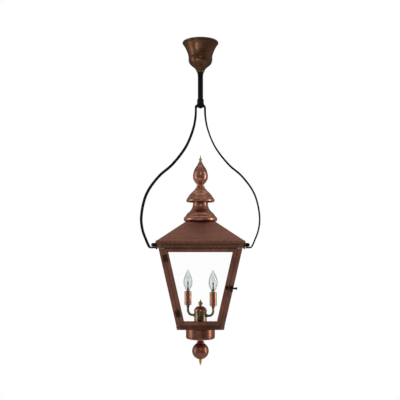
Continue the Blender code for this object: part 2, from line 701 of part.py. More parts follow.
def make_hub():
    turned("hub_cup", [(HUB_RADIUS, -958.0 * MM), (HUB_RADIUS, -1004.3 * MM),
                       (2.6 * MM, -1004.3 * MM)], OLIVE_BRASS, LANTERN, wall=1.0 * MM)
    turned("hub_dome", scaled([
        (2.6, -941.6), (7.4, -941.8), (13.4, -944), (18.4, -948.6), (21.4, -954), (22.8, -957.6)]),
        ROSE_COPPER, LANTERN, wall=0.9 * MM)
    turned("hub_finial", scaled([
        (0, -917.8), (1.6, -920.4), (3, -924.6), (6.9, -929), (8.2, -932.4), (7.2, -935.8),
        (4.4, -938.2), (5.4, -941.2), (2.3, -941.2), (2.3, -933.6), (0, -933.6)]), BRASS,
        LANTERN, steps=SMALL_ROUND)


def arm_points():
    """Centre line of a lamp arm in its own upright plane, from the hub to the candle."""
    start = HUB_RADIUS + GAP
    turn = arc((LAMP_RADIUS - ARM_BEND, ARM_Z + ARM_BEND), ARM_BEND, -90, 0, 7)
    path = [(start, ARM_Z), *turn, (LAMP_RADIUS, CANDLE_BOTTOM_Z - GAP)]
    return [(radius, 0.0, height) for radius, height in path]


def make_lamps():
    for label, turn in (("right", LAMP_TURN), ("left", LAMP_TURN + math.pi)):
        around = Matrix.Rotation(turn, 4, "Z")
        tube("lamp_arm_" + label, arm_points(), ARM_RADIUS, OLIVE_BRASS, LANTERN, around)
        spot = around @ Matrix.Translation((LAMP_RADIUS, 0.0, 0.0))
        bore, floor_z = CANDLE_RADIUS - CANDLE_WALL, CANDLE_BOTTOM_Z + 1.2 * MM
        turned("candle_cover_" + label, [
            (CANDLE_RADIUS, CANDLE_TOP_Z), (CANDLE_RADIUS, CANDLE_BOTTOM_Z),
            (2.0 * MM, CANDLE_BOTTOM_Z), (2.0 * MM, floor_z), (bore, floor_z),
            (bore, CANDLE_TOP_Z)], ROSE_COPPER, LANTERN, steps=16, matrix=spot)
        turned("lamp_socket_" + label, scaled([
            (0, -916), (6.4, -916), (6.4, -894), (9.6, -894), (9.6, -937.2), (0, -937.2)]),
            PORCELAIN, LANTERN, steps=16, matrix=spot)
        turned("bulb_" + label, scaled([
            (0, -815.1), (1.6, -817.2), (5.2, -825), (9.6, -834.5), (13.4, -844), (15.6, -852.6),
            (15.8, -859), (14.2, -868), (10.8, -877), (7.4, -885), (6, -890), (6, -910.5),
            (3, -914.6), (0, -914.8)]), BULB_GLASS, LANTERN, steps=14, matrix=spot)


make_ceiling_fixing()
make_stem()
make_yoke()
make_canopy()
make_roof()
make_finial()
make_top_frame()
make_corner_posts()
make_base()
make_fixed_glass()
make_pivots()
make_door()
make_hinges()
make_latch()
make_bottom()
make_hub()
make_lamps()
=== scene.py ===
"""Visual model of the hanging copper lantern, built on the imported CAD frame.

Metres, +Z up, the origin on the canopy's axis at the ceiling, the door facing -Y.
Profiles are in millimetres, as (radius, height below the ceiling counted negative).
"""
import math

import bmesh
import bpy
import numpy as np
from mathutils import Matrix, Vector


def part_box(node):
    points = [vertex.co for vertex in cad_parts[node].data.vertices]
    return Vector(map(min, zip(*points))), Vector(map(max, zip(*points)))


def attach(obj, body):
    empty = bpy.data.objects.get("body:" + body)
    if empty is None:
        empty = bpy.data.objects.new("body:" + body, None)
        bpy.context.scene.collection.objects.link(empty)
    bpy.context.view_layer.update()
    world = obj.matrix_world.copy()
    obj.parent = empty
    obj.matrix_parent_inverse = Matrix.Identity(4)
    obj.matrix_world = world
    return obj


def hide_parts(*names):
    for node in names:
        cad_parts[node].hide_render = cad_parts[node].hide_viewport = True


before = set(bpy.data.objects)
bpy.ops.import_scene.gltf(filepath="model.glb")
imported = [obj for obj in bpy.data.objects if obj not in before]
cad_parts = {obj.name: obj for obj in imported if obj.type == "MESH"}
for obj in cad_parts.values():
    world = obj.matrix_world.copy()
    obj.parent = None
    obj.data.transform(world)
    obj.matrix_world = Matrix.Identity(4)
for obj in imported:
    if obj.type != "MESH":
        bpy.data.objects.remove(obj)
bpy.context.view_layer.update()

MM = 0.001
FINE = 96
SMALL = 32
IDENTITY = Matrix.Identity(4)
SHARP_DEGREES = 38.0
GRAIN_DEPTH = 0.00012
SIDES = (-1, 1)

LENS_MM = 57.6
CAMERA_PLACE = (-0.0016, -2.26, -0.7176)
CAMERA_PITCH = 93.75

# The body's taper, as in the CAD model.
BODY_TOP_Z = -723.0
BODY_TOP_HALF = 142.5
BODY_BOTTOM_Z = -1014.0
BODY_BOTTOM_HALF = 78.5
TAPER = (BODY_TOP_HALF - BODY_BOTTOM_HALF) / (BODY_TOP_Z - BODY_BOTTOM_Z)
LEAN = math.atan(TAPER)
POST_WIDTH = 14.5
SEAM_INSET = POST_WIDTH + 0.25
DOOR_INSET = 15.0
STILE = 14.5
DOOR_THICK = 3.0
PANE_HEIGHTS = (-751.5, -985.0)
HINGE_HEIGHTS = {"upper": -772.0, "lower": -958.0}
LATCH_Z = -871.0
YOKE_TWIST = math.radians(4.7)
EAVE_HALF = 145.2
BALL_RADIUS = 29.0
BALL_Z = -1096.2


# ---- Camera ----

def add_camera():
    made = bpy.data.cameras.new("camera")
    made.lens = LENS_MM
    made.sensor_width = 36.0
    made.clip_end = 60.0
    item = bpy.data.objects.new("camera", made)
    item.location = CAMERA_PLACE
    item.rotation_euler = (math.radians(CAMERA_PITCH), 0.0, 0.0)
    bpy.context.scene.collection.objects.link(item)
    bpy.context.scene.camera = item


add_camera()


# ---- Node helpers ----

def node(tree, kind, inputs=None, **settings):
    """Add a node; inputs are values or sockets by name or number."""
    made = tree.nodes.new(kind)
    for key, value in settings.items():
        setattr(made, key, value)
    for key, value in (inputs or {}).items():
        if isinstance(value, bpy.types.NodeSocket):
            tree.links.new(value, made.inputs[key])
        else:
            made.inputs[key].default_value = value
    return made


def noise(tree, where, scale, detail=3.0, roughness=0.55, distortion=0.0):
    stretched = node(tree, "ShaderNodeMapping", {"Vector": where, "Scale": scale})
    made = node(tree, "ShaderNodeTexNoise", {
        "Vector": stretched.outputs[0], "Scale": 1.0, "Detail": detail, "Roughness": roughness,
        "Distortion": distortion})
    return made.outputs[0]


def spread(tree, value, low, high, to_low=0.0, to_high=1.0):
    made = node(tree, "ShaderNodeMapRange", {
        "Value": value, "From Min": low, "From Max": high, "To Min": to_low, "To Max": to_high})
    return made.outputs[0]


def ramp(tree, value, stops):
    made = node(tree, "ShaderNodeValToRGB", {"Fac": value})
    elements = made.color_ramp.elements
    while len(elements) < len(stops):
        elements.new(0.5)
    for element, (place, colour) in zip(elements, stops):
        element.position = place
        element.color = (*colour, 1.0)
    return made.outputs[0]


def mix(tree, factor, first, second, blend="MIX"):
    made = node(tree, "ShaderNodeMix", {0: factor}, data_type="RGBA", blend_type=blend)
    for number, value in ((6, first), (7, second)):
        if isinstance(value, bpy.types.NodeSocket):
            tree.links.new(value, made.inputs[number])
        else:
            made.inputs[number].default_value = (*value, 1.0)
    return made.outputs[2]


def maths(tree, operation, first, second=0.0):
    return node(tree, "ShaderNodeMath", {0: first, 1: second}, operation=operation).outputs[0]


def srgb(red, green, blue):
    """Linear colour from 8-bit sRGB values."""
    return tuple(((v / 255.0 + 0.055) / 1.055) ** 2.4 for v in (red, green, blue))


def new_material(name):
    made = bpy.data.materials.new(name)
    made.use_nodes = True
    return made, made.node_tree, made.node_tree.nodes["Principled BSDF"]


def metal(name, tones, rough, wear_and_light, grime_and_shade, grain=(420.0, 420.0, 420.0), metallic=1.0,
          relief=0.2, cloud=20.0, streak=0.3, speck=0.25, tarnish=None, shine=0.5):
    """A patinated metal.

    tones run from dark to light over the patina's clouds, grain is the scale of the brushing
    along X, Y and Z, wear_and_light is the colour of high edges, wear with a painted highlight,
    and grime_and_shade is the colour of specks and hollows, grime with painted shade in the
    hollows. Colours are 8-bit sRGB values.
    """
    made, tree, shader = new_material(name)
    where = node(tree, "ShaderNodeTexCoord").outputs["Object"]
    clouds = noise(tree, where, (cloud, cloud, cloud), 5.0, 0.6, 0.3)
    lines = noise(tree, where, grain, 5.0, 0.65)
    coarse = noise(tree, where, tuple(value * 0.22 for value in grain), 3.0, 0.6)
    flecks = noise(tree, where, (700.0, 700.0, 700.0), 2.0, 0.6)
    last = len(tones) - 1
    stops = [(0.3 + 0.4 * number / last, srgb(*tone)) for number, tone in enumerate(tones)]
    wear_and_light, grime_and_shade = srgb(*wear_and_light), srgb(*grime_and_shade)
    colour = ramp(tree, clouds, stops)
    brushed = spread(tree, maths(tree, "ADD", lines, coarse), 0.7, 1.3, 1.0 - streak, 1.0 + streak)
    grey = node(tree, "ShaderNodeCombineColor", {0: brushed, 1: brushed, 2: brushed}).outputs[0]
    colour = mix(tree, 1.0, colour, grey, "MULTIPLY")
    spots = spread(tree, flecks, 0.62, 0.75)
    colour = mix(tree, maths(tree, "MULTIPLY", spots, speck), colour, grime_and_shade)
    if tarnish is not None:
        film = spread(tree, noise(tree, where, (55.0, 55.0, 55.0), 6.0, 0.7, 0.6), 0.56, 0.7)
        colour = mix(tree, maths(tree, "MULTIPLY", film, 0.55), colour, srgb(*tarnish))
    point = node(tree, "ShaderNodeAttribute", attribute_name="edge").outputs["Fac"]
    face = node(tree, "ShaderNodeAttribute", attribute_name="rim").outputs["Fac"]
    edge = maths(tree, "ADD", point, maths(tree, "MULTIPLY", face, 0.75))
    broken = maths(tree, "ADD", edge, spread(tree, coarse, 0.3, 0.7, -0.35, 0.35))
    # High edges and bevels take the edge colour: part wear, part painted highlight.
    colour = mix(tree, spread(tree, broken, 0.3, 0.9, 0.0, 0.85), colour, wear_and_light)
    # Hollows take the dark colour: part grime, part painted shade in the creases.
    colour = mix(tree, spread(tree, edge, -0.1, -0.7, 0.0, 0.9), colour, grime_and_shade)
    tree.links.new(colour, shader.inputs["Base Color"])
    gloss = maths(tree, "ADD", spread(tree, clouds, 0.3, 0.7, *rough),
                  spread(tree, lines, 0.3, 0.7, -0.05, 0.05))
    tree.links.new(gloss, shader.inputs["Roughness"])
    shader.inputs["Metallic"].default_value = metallic
    shader.inputs["Specular IOR Level"].default_value = shine
    height = maths(tree, "ADD", lines, maths(tree, "MULTIPLY", flecks, 0.6))
    bump = node(tree, "ShaderNodeBump", {
        "Strength": relief, "Distance": GRAIN_DEPTH, "Height": height})
    tree.links.new(bump.outputs[0], shader.inputs["Normal"])
    return made


TURNED_GRAIN = (25.0, 25.0, 1500.0)
UPRIGHT_GRAIN = (520.0, 520.0, 22.0)

LOOKS = {
    "sheet": metal("copper_sheet", [(112, 74, 61), (136, 92, 77), (156, 108, 91)], (0.42, 0.56),
        (92, 58, 46), (44, 27, 21), relief=0.3, streak=0.3, grain=UPRIGHT_GRAIN),
    # A darker copy of the sheet copper for the top band: painted shade under the eave.
    "band": metal("copper_band_shaded", [(110, 76, 65), (127, 88, 76), (143, 100, 86)], (0.46, 0.6),
        (92, 60, 49), (44, 28, 22), relief=0.3, streak=0.2),
    # A darker copy of the sheet copper for the base rails and the door stops: painted shade.
    "sill": metal("copper_sill_shaded", [(86, 57, 47), (104, 70, 59), (120, 82, 69)], (0.46, 0.6),
        (78, 50, 40), (38, 24, 19), relief=0.3, streak=0.24),
    # The roof's light edge colour also lightens its fascia: painted light.
    "roof": metal("copper_roof", [(136, 91, 76), (148, 101, 85), (158, 110, 93)], (0.48, 0.6),
        (172, 120, 98), (62, 38, 30), relief=0.3, streak=0.16),
    # Its light edge colour on beads is wear with a painted highlight, and its dark colour in
    # grooves is grime with painted shade.
    "spun": metal("copper_spun", [(176, 120, 98), (194, 136, 113), (208, 150, 126)], (0.28, 0.36),
        (220, 164, 138), (70, 40, 30), streak=0.14, speck=0.06, relief=0.06, grain=TURNED_GRAIN),
    "cup": metal("copper_dark", [(124, 78, 64), (146, 94, 78), (166, 110, 92)], (0.26, 0.38),
        (186, 124, 102), (46, 26, 20), streak=0.16, speck=0.06, relief=0.06, grain=TURNED_GRAIN),
    "bronze": metal("bronze_canopy", [(90, 62, 46), (106, 73, 54), (122, 84, 63)], (0.3, 0.38),
        (176, 128, 98), (38, 26, 19), streak=0.12, cloud=26.0, speck=0.06, relief=0.06,
        grain=TURNED_GRAIN),
    "black": metal("black_iron", [(26, 26, 25), (33, 33, 31), (40, 40, 38)], (0.6, 0.75),
        (36, 35, 33), (10, 10, 10), metallic=0.0, streak=0.12, speck=0.05, relief=0.04,
        shine=0.06),
    "brass": metal("brass", [(204, 156, 62), (220, 174, 80), (234, 190, 98)], (0.2, 0.34),
        (244, 208, 130), (80, 54, 20), streak=0.15, grain=TURNED_GRAIN),
    "olive": metal("olive_brass", [(104, 104, 48), (124, 122, 58), (144, 138, 70)], (0.25, 0.4),
        (170, 158, 88), (40, 42, 20), streak=0.18, tarnish=(78, 92, 52)),
    "ring": metal("ring_brass", [(70, 64, 38), (88, 80, 46), (104, 94, 56)], (0.28, 0.4),
        (140, 126, 76), (28, 26, 16), streak=0.18, grain=TURNED_GRAIN),
    "hub": metal("hub_brass", [(116, 100, 70), (156, 130, 94), (192, 150, 112)], (0.26, 0.38),
        (210, 172, 126), (50, 48, 30), streak=0.38, cloud=45.0, tarnish=(84, 94, 66), speck=0.05,
        relief=0.06, grain=(330.0, 330.0, 8.0)),
    "rose": metal("rose_copper", [(176, 116, 88), (192, 130, 100), (206, 144, 112)], (0.18, 0.3),
        (244, 188, 156), (84, 50, 36), streak=0.14, grain=TURNED_GRAIN),
    "steel": metal("zinc_steel", [(150, 148, 142), (172, 170, 164), (188, 186, 180)], (0.3, 0.45),
        (206, 204, 198), (84, 80, 74), streak=0.15),
    "fitting": metal("dark_brass", [(40, 31, 24), (54, 42, 32), (72, 56, 42)], (0.3, 0.45),
        (150, 118, 80), (20, 15, 11), streak=0.2, relief=0.15),
    # Its gold edge colour on the lobes is wear with painted glints.
    "rosette": metal("rosette_metal", [(40, 31, 24), (58, 44, 32), (84, 64, 40)], (0.28, 0.42),
        (190, 146, 74), (20, 15, 11), streak=0.3, relief=0.2),
    "screw": metal("copper_screw", [(120, 82, 66), (146, 104, 86), (172, 128, 106)], (0.4, 0.5),
        (160, 116, 94), (44, 28, 22), relief=0.1),
    "socket": metal("socket_plastic", [(44, 42, 40), (52, 50, 47), (60, 58, 54)], (0.42, 0.55),
        (84, 80, 74), (22, 20, 18), metallic=0.0, streak=0.1),
    "wire": metal("lead_wire", [(96, 96, 94), (120, 120, 118), (140, 140, 138)], (0.3, 0.4),
        (160, 160, 158), (50, 50, 48), streak=0.1),
}


def glass(name, tint, film, bend, sheen):
    """Clear glass: see-through, with gloss by Fresnel, a faint uneven film and slow waves."""
    made, tree, shader = new_material(name)
    tree.nodes.remove(shader)
    where = node(tree, "ShaderNodeTexCoord").outputs["Object"]
    waves = noise(tree, where, (14.0, 14.0, 9.0), 2.0, 0.5, 0.4)
    dust = noise(tree, where, (160.0, 160.0, 160.0), 5.0, 0.7)
    bump = node(tree, "ShaderNodeBump", {"Strength": bend, "Distance": 0.002, "Height": waves})
    clear = node(tree, "ShaderNodeBsdfTransparent", {"Color": (*tint, 1.0)})
    gloss = node(tree, "ShaderNodeBsdfAnisotropic", {
        "Color": (1.0, 1.0, 1.0, 1.0), "Roughness": 0.03, "Normal": bump.outputs[0]})
    veil = node(tree, "ShaderNodeBsdfDiffuse", {"Color": (0.75, 0.76, 0.76, 1.0)})
    bounce = node(tree, "ShaderNodeFresnel", {"IOR": 1.48, "Normal": bump.outputs[0]})
    share = maths(tree, "MULTIPLY", bounce.outputs[0], sheen)
    pane = node(tree, "ShaderNodeMixShader", {0: share, 1: clear.outputs[0], 2: gloss.outputs[0]})
    dusty = spread(tree, dust, 0.5, 0.8, 0.0, film)
    whole = node(tree, "ShaderNodeMixShader", {0: dusty, 1: pane.outputs[0], 2: veil.outputs[0]})
    tree.links.new(whole.outputs[0], tree.nodes["Material Output"].inputs["Surface"])
    return made


LOOKS["pane"] = glass("pane_glass", (0.999, 1.0, 0.9995), 0.005, 0.03, 0.3)
LOOKS["bulb"] = glass("bulb_glass", (0.918, 0.926, 0.931), 0.015, 0.05, 0.25)
LOOKS["stem_glass"] = glass("stem_glass", (0.955, 0.96, 0.964), 0.02, 0.1, 0.35)


# ---- Mesh helpers ----

def moved(x, y, z):
    """A shift in millimetres."""
    return Matrix.Translation((x * MM, y * MM, z * MM))


def spun(degrees, axis):
    return Matrix.Rotation(math.radians(degrees), 4, axis)


def new_bm():
    """An empty mesh that can carry wear and painted light on its points and on its faces."""
    bm = bmesh.new()
    bm.verts.layers.float.new("edge")
    bm.faces.layers.float.new("rim")
    return bm


def join(bm, part, matrix=IDENTITY):
    """Add one mesh to another and free it."""
    part.transform(matrix)
    mesh = bpy.data.meshes.new("part")
    part.to_mesh(mesh)
    part.free()
    bm.from_mesh(mesh)
    bpy.data.meshes.remove(mesh)


def piece(name, bm, look, nodes=(), body="lantern"):
    """Make a piece from a mesh, ride it on its body, and let it stand for CAD nodes."""
    bmesh.ops.recalc_face_normals(bm, faces=bm.faces)
    mesh = bpy.data.meshes.new(name)
    bm.to_mesh(mesh)
    bm.free()
    mesh.materials.append(LOOKS[look])
    mesh.shade_smooth()
    mesh.set_sharp_from_angle(angle=math.radians(SHARP_DEGREES))
    item = bpy.data.objects.new(name, mesh)
    bpy.context.scene.collection.objects.link(item)
    weighted = item.modifiers.new("normals", "WEIGHTED_NORMAL")
    weighted.keep_sharp = True
    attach(item, body)
    if nodes:
        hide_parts(*nodes)


def skin(bm, rings, values=None, wrap=False, capped=False, matrix=IDENTITY):
    """Faces between successive rings of points; a ring of one point is a pole."""
    part = new_bm()
    layer = part.verts.layers.float["edge"]
    rows = []
    for number, ring in enumerate(rings):
        row = [part.verts.new(point) for point in ring]
        for vert in row:
            vert[layer] = values[number] if values else 0.0
        rows.append(row)
    pairs = list(zip(rows, rows[1:]))
    if wrap:
        pairs.append((rows[-1], rows[0]))
    for upper, lower in pairs:
        count = max(len(upper), len(lower))
        if count == 1:
            continue
        for here in range(count):
            there = (here + 1) % count
            if len(upper) == 1:
                part.faces.new((upper[0], lower[here], lower[there]))
            elif len(lower) == 1:
                part.faces.new((upper[here], lower[0], upper[there]))
            else:
                part.faces.new((upper[here], lower[here], lower[there], upper[there]))
    if capped:
        part.faces.new(list(reversed(rows[0])))
        part.faces.new(rows[-1])
    join(bm, part, matrix)


def blend(t, a, b, start, end):
    return (end - t) / (end - start) * a + (t - start) / (end - start) * b


def smooth(points, pieces=8):
    """Points on a centripetal Catmull-Rom curve through the given ones."""
    knots = [np.array(point, float) for point in points]
    if len(knots) < 3:
        return [tuple(knot) for knot in knots]
    knots = [2.0 * knots[0] - knots[1], *knots, 2.0 * knots[-1] - knots[-2]]
    made = []
    for a, b, c, d in zip(knots, knots[1:], knots[2:], knots[3:]):
        t0, t1 = 0.0, math.sqrt(np.linalg.norm(b - a))
        t2 = t1 + math.sqrt(np.linalg.norm(c - b))
        t3 = t2 + math.sqrt(np.linalg.norm(d - c))
        for step in range(pieces):
            t = t1 + (t2 - t1) * step / pieces
            bc = blend(t, b, c, t1, t2)
            abc = blend(t, blend(t, a, b, t0, t1), bc, t0, t2)
            bcd = blend(t, bc, blend(t, c, d, t2, t3), t1, t3)
            made.append(tuple(blend(t, abc, bcd, t1, t2)))
    made.append(tuple(knots[-2]))
    return made


def outline(start, *runs):
    """One profile from its first point: a pair is a corner, and a list is a smooth curve."""
    points = [start]
    for run in runs:
        knots = run if isinstance(run, list) else [run]
        for point in smooth([points[-1], *knots]):
            if math.dist(points[-1], point) > 0.01:
                points.append(point)
    return points


def supported(points, near=0.7):
    """Add points close to both ends of long straight stretches, so the edge colours of wear,
    painted highlight and painted shade stay at corners.
    """
    made = [points[0]]
    for a, b in zip(points, points[1:]):
        length = math.dist(a, b)
        if length > 3.5 * near:
            for share in (near / length, 1.0 - near / length):
                made.append(tuple(p + (q - p) * share for p, q in zip(a, b)))
        made.append(b)
    return made


def normals_of(points):
    """Outward normals of a profile that runs down its outer side."""
    made = []
    for number in range(len(points)):
        a = points[max(number - 1, 0)]
        b = points[min(number + 1, len(points) - 1)]
        across, down = b[0] - a[0], b[1] - a[1]
        length = math.hypot(across, down) or 1.0
        made.append((-down / length, across / length))
    return made


def engraved(points, grooves):
    """Sink a groove of (height, depth, half-width) at each of its heights; negative is a bead."""
    for height, depth, half in grooves:
        made = []
        for a, b in zip(points, points[1:]):
            made.append(a)
            marks = [height + half * share for share in (1, 0.66, 0.33, 0, -0.33, -0.66, -1)]
            for mark in marks:
                if b[1] + 0.02 < mark < a[1] - 0.02:
                    share = (a[1] - mark) / (a[1] - b[1])
                    made.append(tuple(p + (q - p) * share for p, q in zip(a, b)))
        made.append(points[-1])
        points = []
        for point, normal in zip(made, normals_of(made)):
            sink = depth * max(0, 1.0 - ((point[1] - height) / half) ** 2)
            points.append((point[0] - normal[0] * sink, point[1] - normal[1] * sink))
    return points


def shell(points, wall):
    """Closed outline of a thin wall whose outer side is the given profile."""
    inner = []
    for point, normal in zip(points, normals_of(points)):
        inner.append((max(point[0] - normal[0] * wall, 0.4), point[1] - normal[1] * wall))
    return points + inner[::-1]


def wear_of(points, closed):
    """Convexity of a profile at each point, from -1 in a tight hollow to 1 on a sharp edge."""
    count = len(points)
    made = []
    for number in range(count):
        a = points[number - 1] if closed or number else points[0]
        b = points[number]
        c = points[(number + 1) % count] if closed or number < count - 1 else points[-1]
        first = (b[0] - a[0], b[1] - a[1])
        second = (c[0] - b[0], c[1] - b[1])
        sizes = math.hypot(*first), math.hypot(*second)
        if min(sizes) < 1e-6:
            made.append(0)
            continue
        turn = math.atan2(first[0] * second[1] - first[1] * second[0],
                          first[0] * second[0] + first[1] * second[1])
        made.append(math.tanh(-turn / (0.5 * sum(sizes)) * 1.1))
    return made


def lathe(bm, points, steps=FINE, matrix=IDENTITY, lobes=None):
    """Revolve an outline about Z. It is closed by the axis, or by itself."""
    closed = points[0][0] > 0.01
    values = wear_of(points, closed)
    rings = []
    for radius, height in points:
        if radius <= 0.01:
            rings.append([(0, 0, height * MM)])
            continue
        ring = []
        for step in range(steps):
            angle = 2.0 * math.pi * step / steps
            size = radius
            if lobes and radius > lobes[2]:
                size *= 1.0 - lobes[1] * (0.5 + 0.5 * math.cos(lobes[0] * angle))
            ring.append((size * MM * math.cos(angle), size * MM * math.sin(angle), height * MM))
        rings.append(ring)
    skin(bm, rings, values, wrap=closed, matrix=matrix)


def turned(name, points, look, nodes, body="lantern", wall=0, steps=FINE, matrix=IDENTITY,
           grooves=(), lobes=None, cutters=None):
    """A piece turned on a lathe: solid, or a shell of the wall's thickness."""
    points = engraved(supported(points), grooves)
    if wall:
        points = shell(points, wall)
    bm = new_bm()
    lathe(bm, points, steps, matrix, lobes)
    if cutters is not None:
        bm = cut(bm, cutters)
    piece(name, bm, look, nodes, body)


def cut(bm, cutters):
    """Take one mesh away from another."""
    items = []
    for number, source in enumerate((bm, cutters)):
        bmesh.ops.recalc_face_normals(source, faces=source.faces)
        mesh = bpy.data.meshes.new("cut")
        source.to_mesh(mesh)
        source.free()
        item = bpy.data.objects.new(f"cut_{number}", mesh)
        bpy.context.scene.collection.objects.link(item)
        items.append(item)
    step = items[0].modifiers.new("cut", "BOOLEAN")
    step.operation = "DIFFERENCE"
    step.solver = "EXACT"
    step.object = items[1]
    evaluated = items[0].evaluated_get(bpy.context.evaluated_depsgraph_get())
    made = bmesh.new()
    made.from_mesh(evaluated.to_mesh())
    evaluated.to_mesh_clear()
    for item in items:
        bpy.data.objects.remove(item, do_unlink=True)
    return made


def rounded_square(half, radius, height):
    """A square ring with rounded corners."""
    corners = rounded(-half, -half, half, half, min(radius, half * 0.9), 5)
    return [(x * MM, y * MM, height * MM) for x, y in corners]


def squared(bm, points, wall, radius=1.2, grooves=()):
    """A folded sheet-metal shell of square plan; points are (half-width, height)."""
    points = engraved(supported(points, 0.8), grooves)
    points = shell(points, wall)
    skin(bm, [rounded_square(half, radius, height) for half, height in points],
         wear_of(points, True), wrap=True)


def prism(bm, loop, low, high, bevel=0.3, matrix=IDENTITY, shift=0):
    """A bevelled plate: an outline in XY between two heights; shift slants it along X and Y."""
    part = new_bm()
    base = part.faces.new([part.verts.new((x * MM, y * MM, low * MM)) for x, y in loop])
    grown = bmesh.ops.extrude_face_region(part, geom=[base])["geom"]
    lifted = [element for element in grown if isinstance(element, bmesh.types.BMVert)]
    bmesh.ops.translate(part, verts=lifted, vec=(shift * MM, shift * MM, (high - low) * MM))
    bmesh.ops.recalc_face_normals(part, faces=part.faces)
    soften(part, bevel)
    join(bm, part, matrix)


def soften(part, bevel):
    """Round the sharp edges and mark the new faces for the edge colour: wear with a painted
    highlight.
    """
    if not bevel:
        return
    edges = [edge for edge in part.edges if edge.calc_face_angle(0) > 0.4]
    made = bmesh.ops.bevel(part, geom=edges, offset=bevel * MM, segments=2, profile=0.5,
                           affect="EDGES", clamp_overlap=True)
    layer = part.faces.layers.float["rim"]
    for face in made["faces"]:
        face[layer] = 1.0


def rounded(x0, y0, x1, y1, radius, pieces=4):
    """A rectangle's outline with rounded corners."""
    loop = []
    for x, y, start in ((x1 - radius, y0 + radius, -90), (x1 - radius, y1 - radius, 0),
                        (x0 + radius, y1 - radius, 90), (x0 + radius, y0 + radius, 180)):
        loop += circle(radius, pieces, x, y, start, 90)
    return loop


def circle(radius, steps, x=0, y=0, start=0, turn=360):
    closed = turn >= 360.0
    made = []
    for step in range(steps if closed else steps + 1):
        angle = math.radians(start + turn * step / steps)
        made.append((x + radius * math.cos(angle), y + radius * math.sin(angle)))
    return made


def screw(bm, matrix, radius=1.8, height=1, turn=30):
    """A slotted round head on a thin washer face, standing on the frame's XY plane."""
    spin = matrix @ spun(turn, "Z")
    prism(bm, circle(radius, 20), -0.3, height * 0.45, 0.12, spin)
    half = math.degrees(math.asin(0.2))
    for side in (0, 180):
        loop = circle(radius * 0.94, 12, start=side + half, turn=180.0 - 2.0 * half)
        prism(bm, loop, height * 0.4, height, height * 0.35, spin)


def tube(bm, path, radius, steps, matrix):
    """A round bar along 3-D points in millimetres."""
    points = [Vector(point) for point in path]
    side = None
    rings = []
    for number, point in enumerate(points):
        ahead = points[min(number + 1, len(points) - 1)] - points[max(number - 1, 0)]
        ahead.normalize()
        if side is None:
            side = ahead.orthogonal().normalized()
        side = (side - ahead * side.dot(ahead)).normalized()
        up = ahead.cross(side)
        rings.append([(point + (side * math.cos(a) + up * math.sin(a)) * radius) * MM
                      for a in (2.0 * math.pi * step / steps for step in range(steps))])
    skin(bm, rings, capped=True, matrix=matrix)


def half_width(height):
    return BODY_TOP_HALF + TAPER * (height - BODY_TOP_Z)


def up_slope(height):
    return (height - BODY_TOP_Z) / math.cos(LEAN)


def face_frame(quarter, x=0, height=BODY_TOP_Z, out=0):
    """Frame on a body face: X across, Y up the slope, Z out. Quarter 0 is the front."""
    turn = spun(90 * quarter, "Z")
    slope = Matrix.Rotation(math.radians(90) + LEAN, 4, "X")
    origin = moved(0, -BODY_TOP_HALF, BODY_TOP_Z)
    spot = moved(x, up_slope(height), out)
    return turn @ origin @ slope @ spot


def middle_of(name):
    low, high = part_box(name)
    return (low + high) / 2.0


# ---- Ceiling fixing, inside the canopy ----

def make_ceiling():
    bm = new_bm()
    for x in (-38.5, 38.5):
        screw(bm, moved(x, 0, -3) @ spun(180, "X"), 4.2, 2.4, 20 + x)
    piece("crossbar_screws", bm, "steel", body="ceiling")
    turned("threaded_nipple", outline(
        (6.2, -0.5), (6.6, -0.9), (6.6, -3.3), (6.6, -3.4), (10.6, -3.4), (11, -3.8), (11, -6),
        (10.6, -6.4), (6.6, -6.4), (6.6, -6.5), (6.6, -26), (4.6, -26), (4.6, -0.5)),
        "brass", ["flanged_nipple"], body="ceiling", steps=40)


# ---- Canopy ----

def make_canopy():
    turned("canopy_bell", outline(
        (61.5, -0.6), [(63.2, -1.1), (64.2, -2.6), (64.5, -4.6), (63.9, -6.6), (62.4, -8.2)],
        [(61, -10.6), (57.2, -16.5), (53.3, -23.5), (50, -31), (47, -38.5), (44.8, -45.5),
        (43.2, -52), (42.3, -57.5)], [(42.9, -61.5), (42.8, -66.5), (41.8, -71.8), (40.2, -76.5),
        (37.4, -80.8), (33, -85.2), (28.5, -89)], [(24.6, -92.2), (20.9, -95.8), (18, -99.6),
        (16.2, -102.4), (15.2, -103.6)], (11.7, -104.2)),
        "bronze", ["canopy"], body="canopy", wall=1.2,
        grooves=[(-9.2, 0.7, 0.9), (-56.8, 0.5, 0.8)])
    bm = new_bm()
    lathe(bm, outline(
        (14.5, -104.6), (14.9, -105), (14.9, -107), [(14.2, -108.4), (12.9, -110.6),
        (12.4, -111.7)], (11.3, -111.7), (11.3, -104.6)), 64)
    screw(bm, spun(200, "Z") @ moved(14.6, 0, -106.1) @ spun(90, "Y"), 1, 0.6)
    piece("canopy_lock_ring", bm, "ring", ["canopy_ring"], body="canopy")


# ---- Pipe and yoke ----

def yoke_path():
    """Centre line of the yoke from its left foot to its right one, in the XZ plane."""
    strap = [(0, -233.3), (11.5, -233.3)]
    corner = circle(4.8, 8, 11.7, -238.1, 78, -66)
    knots = [(16.2, -241), (17.4, -270.8), (25.2, -313.7), (51.4, -378.8), (99.6, -442.7),
             (148.2, -486.3), (191.6, -549.6), (209, -630), (203.9, -677), (188, -719.3)]
    arm = smooth(knots, 9)
    bend = circle(10, 8, 173, -727.4, -25, -65)
    right = strap + corner + arm + bend + [(167, -737.4), (EAVE_HALF + 15, -737.4)]
    return [(-x, z) for x, z in reversed(right[1:])] + right


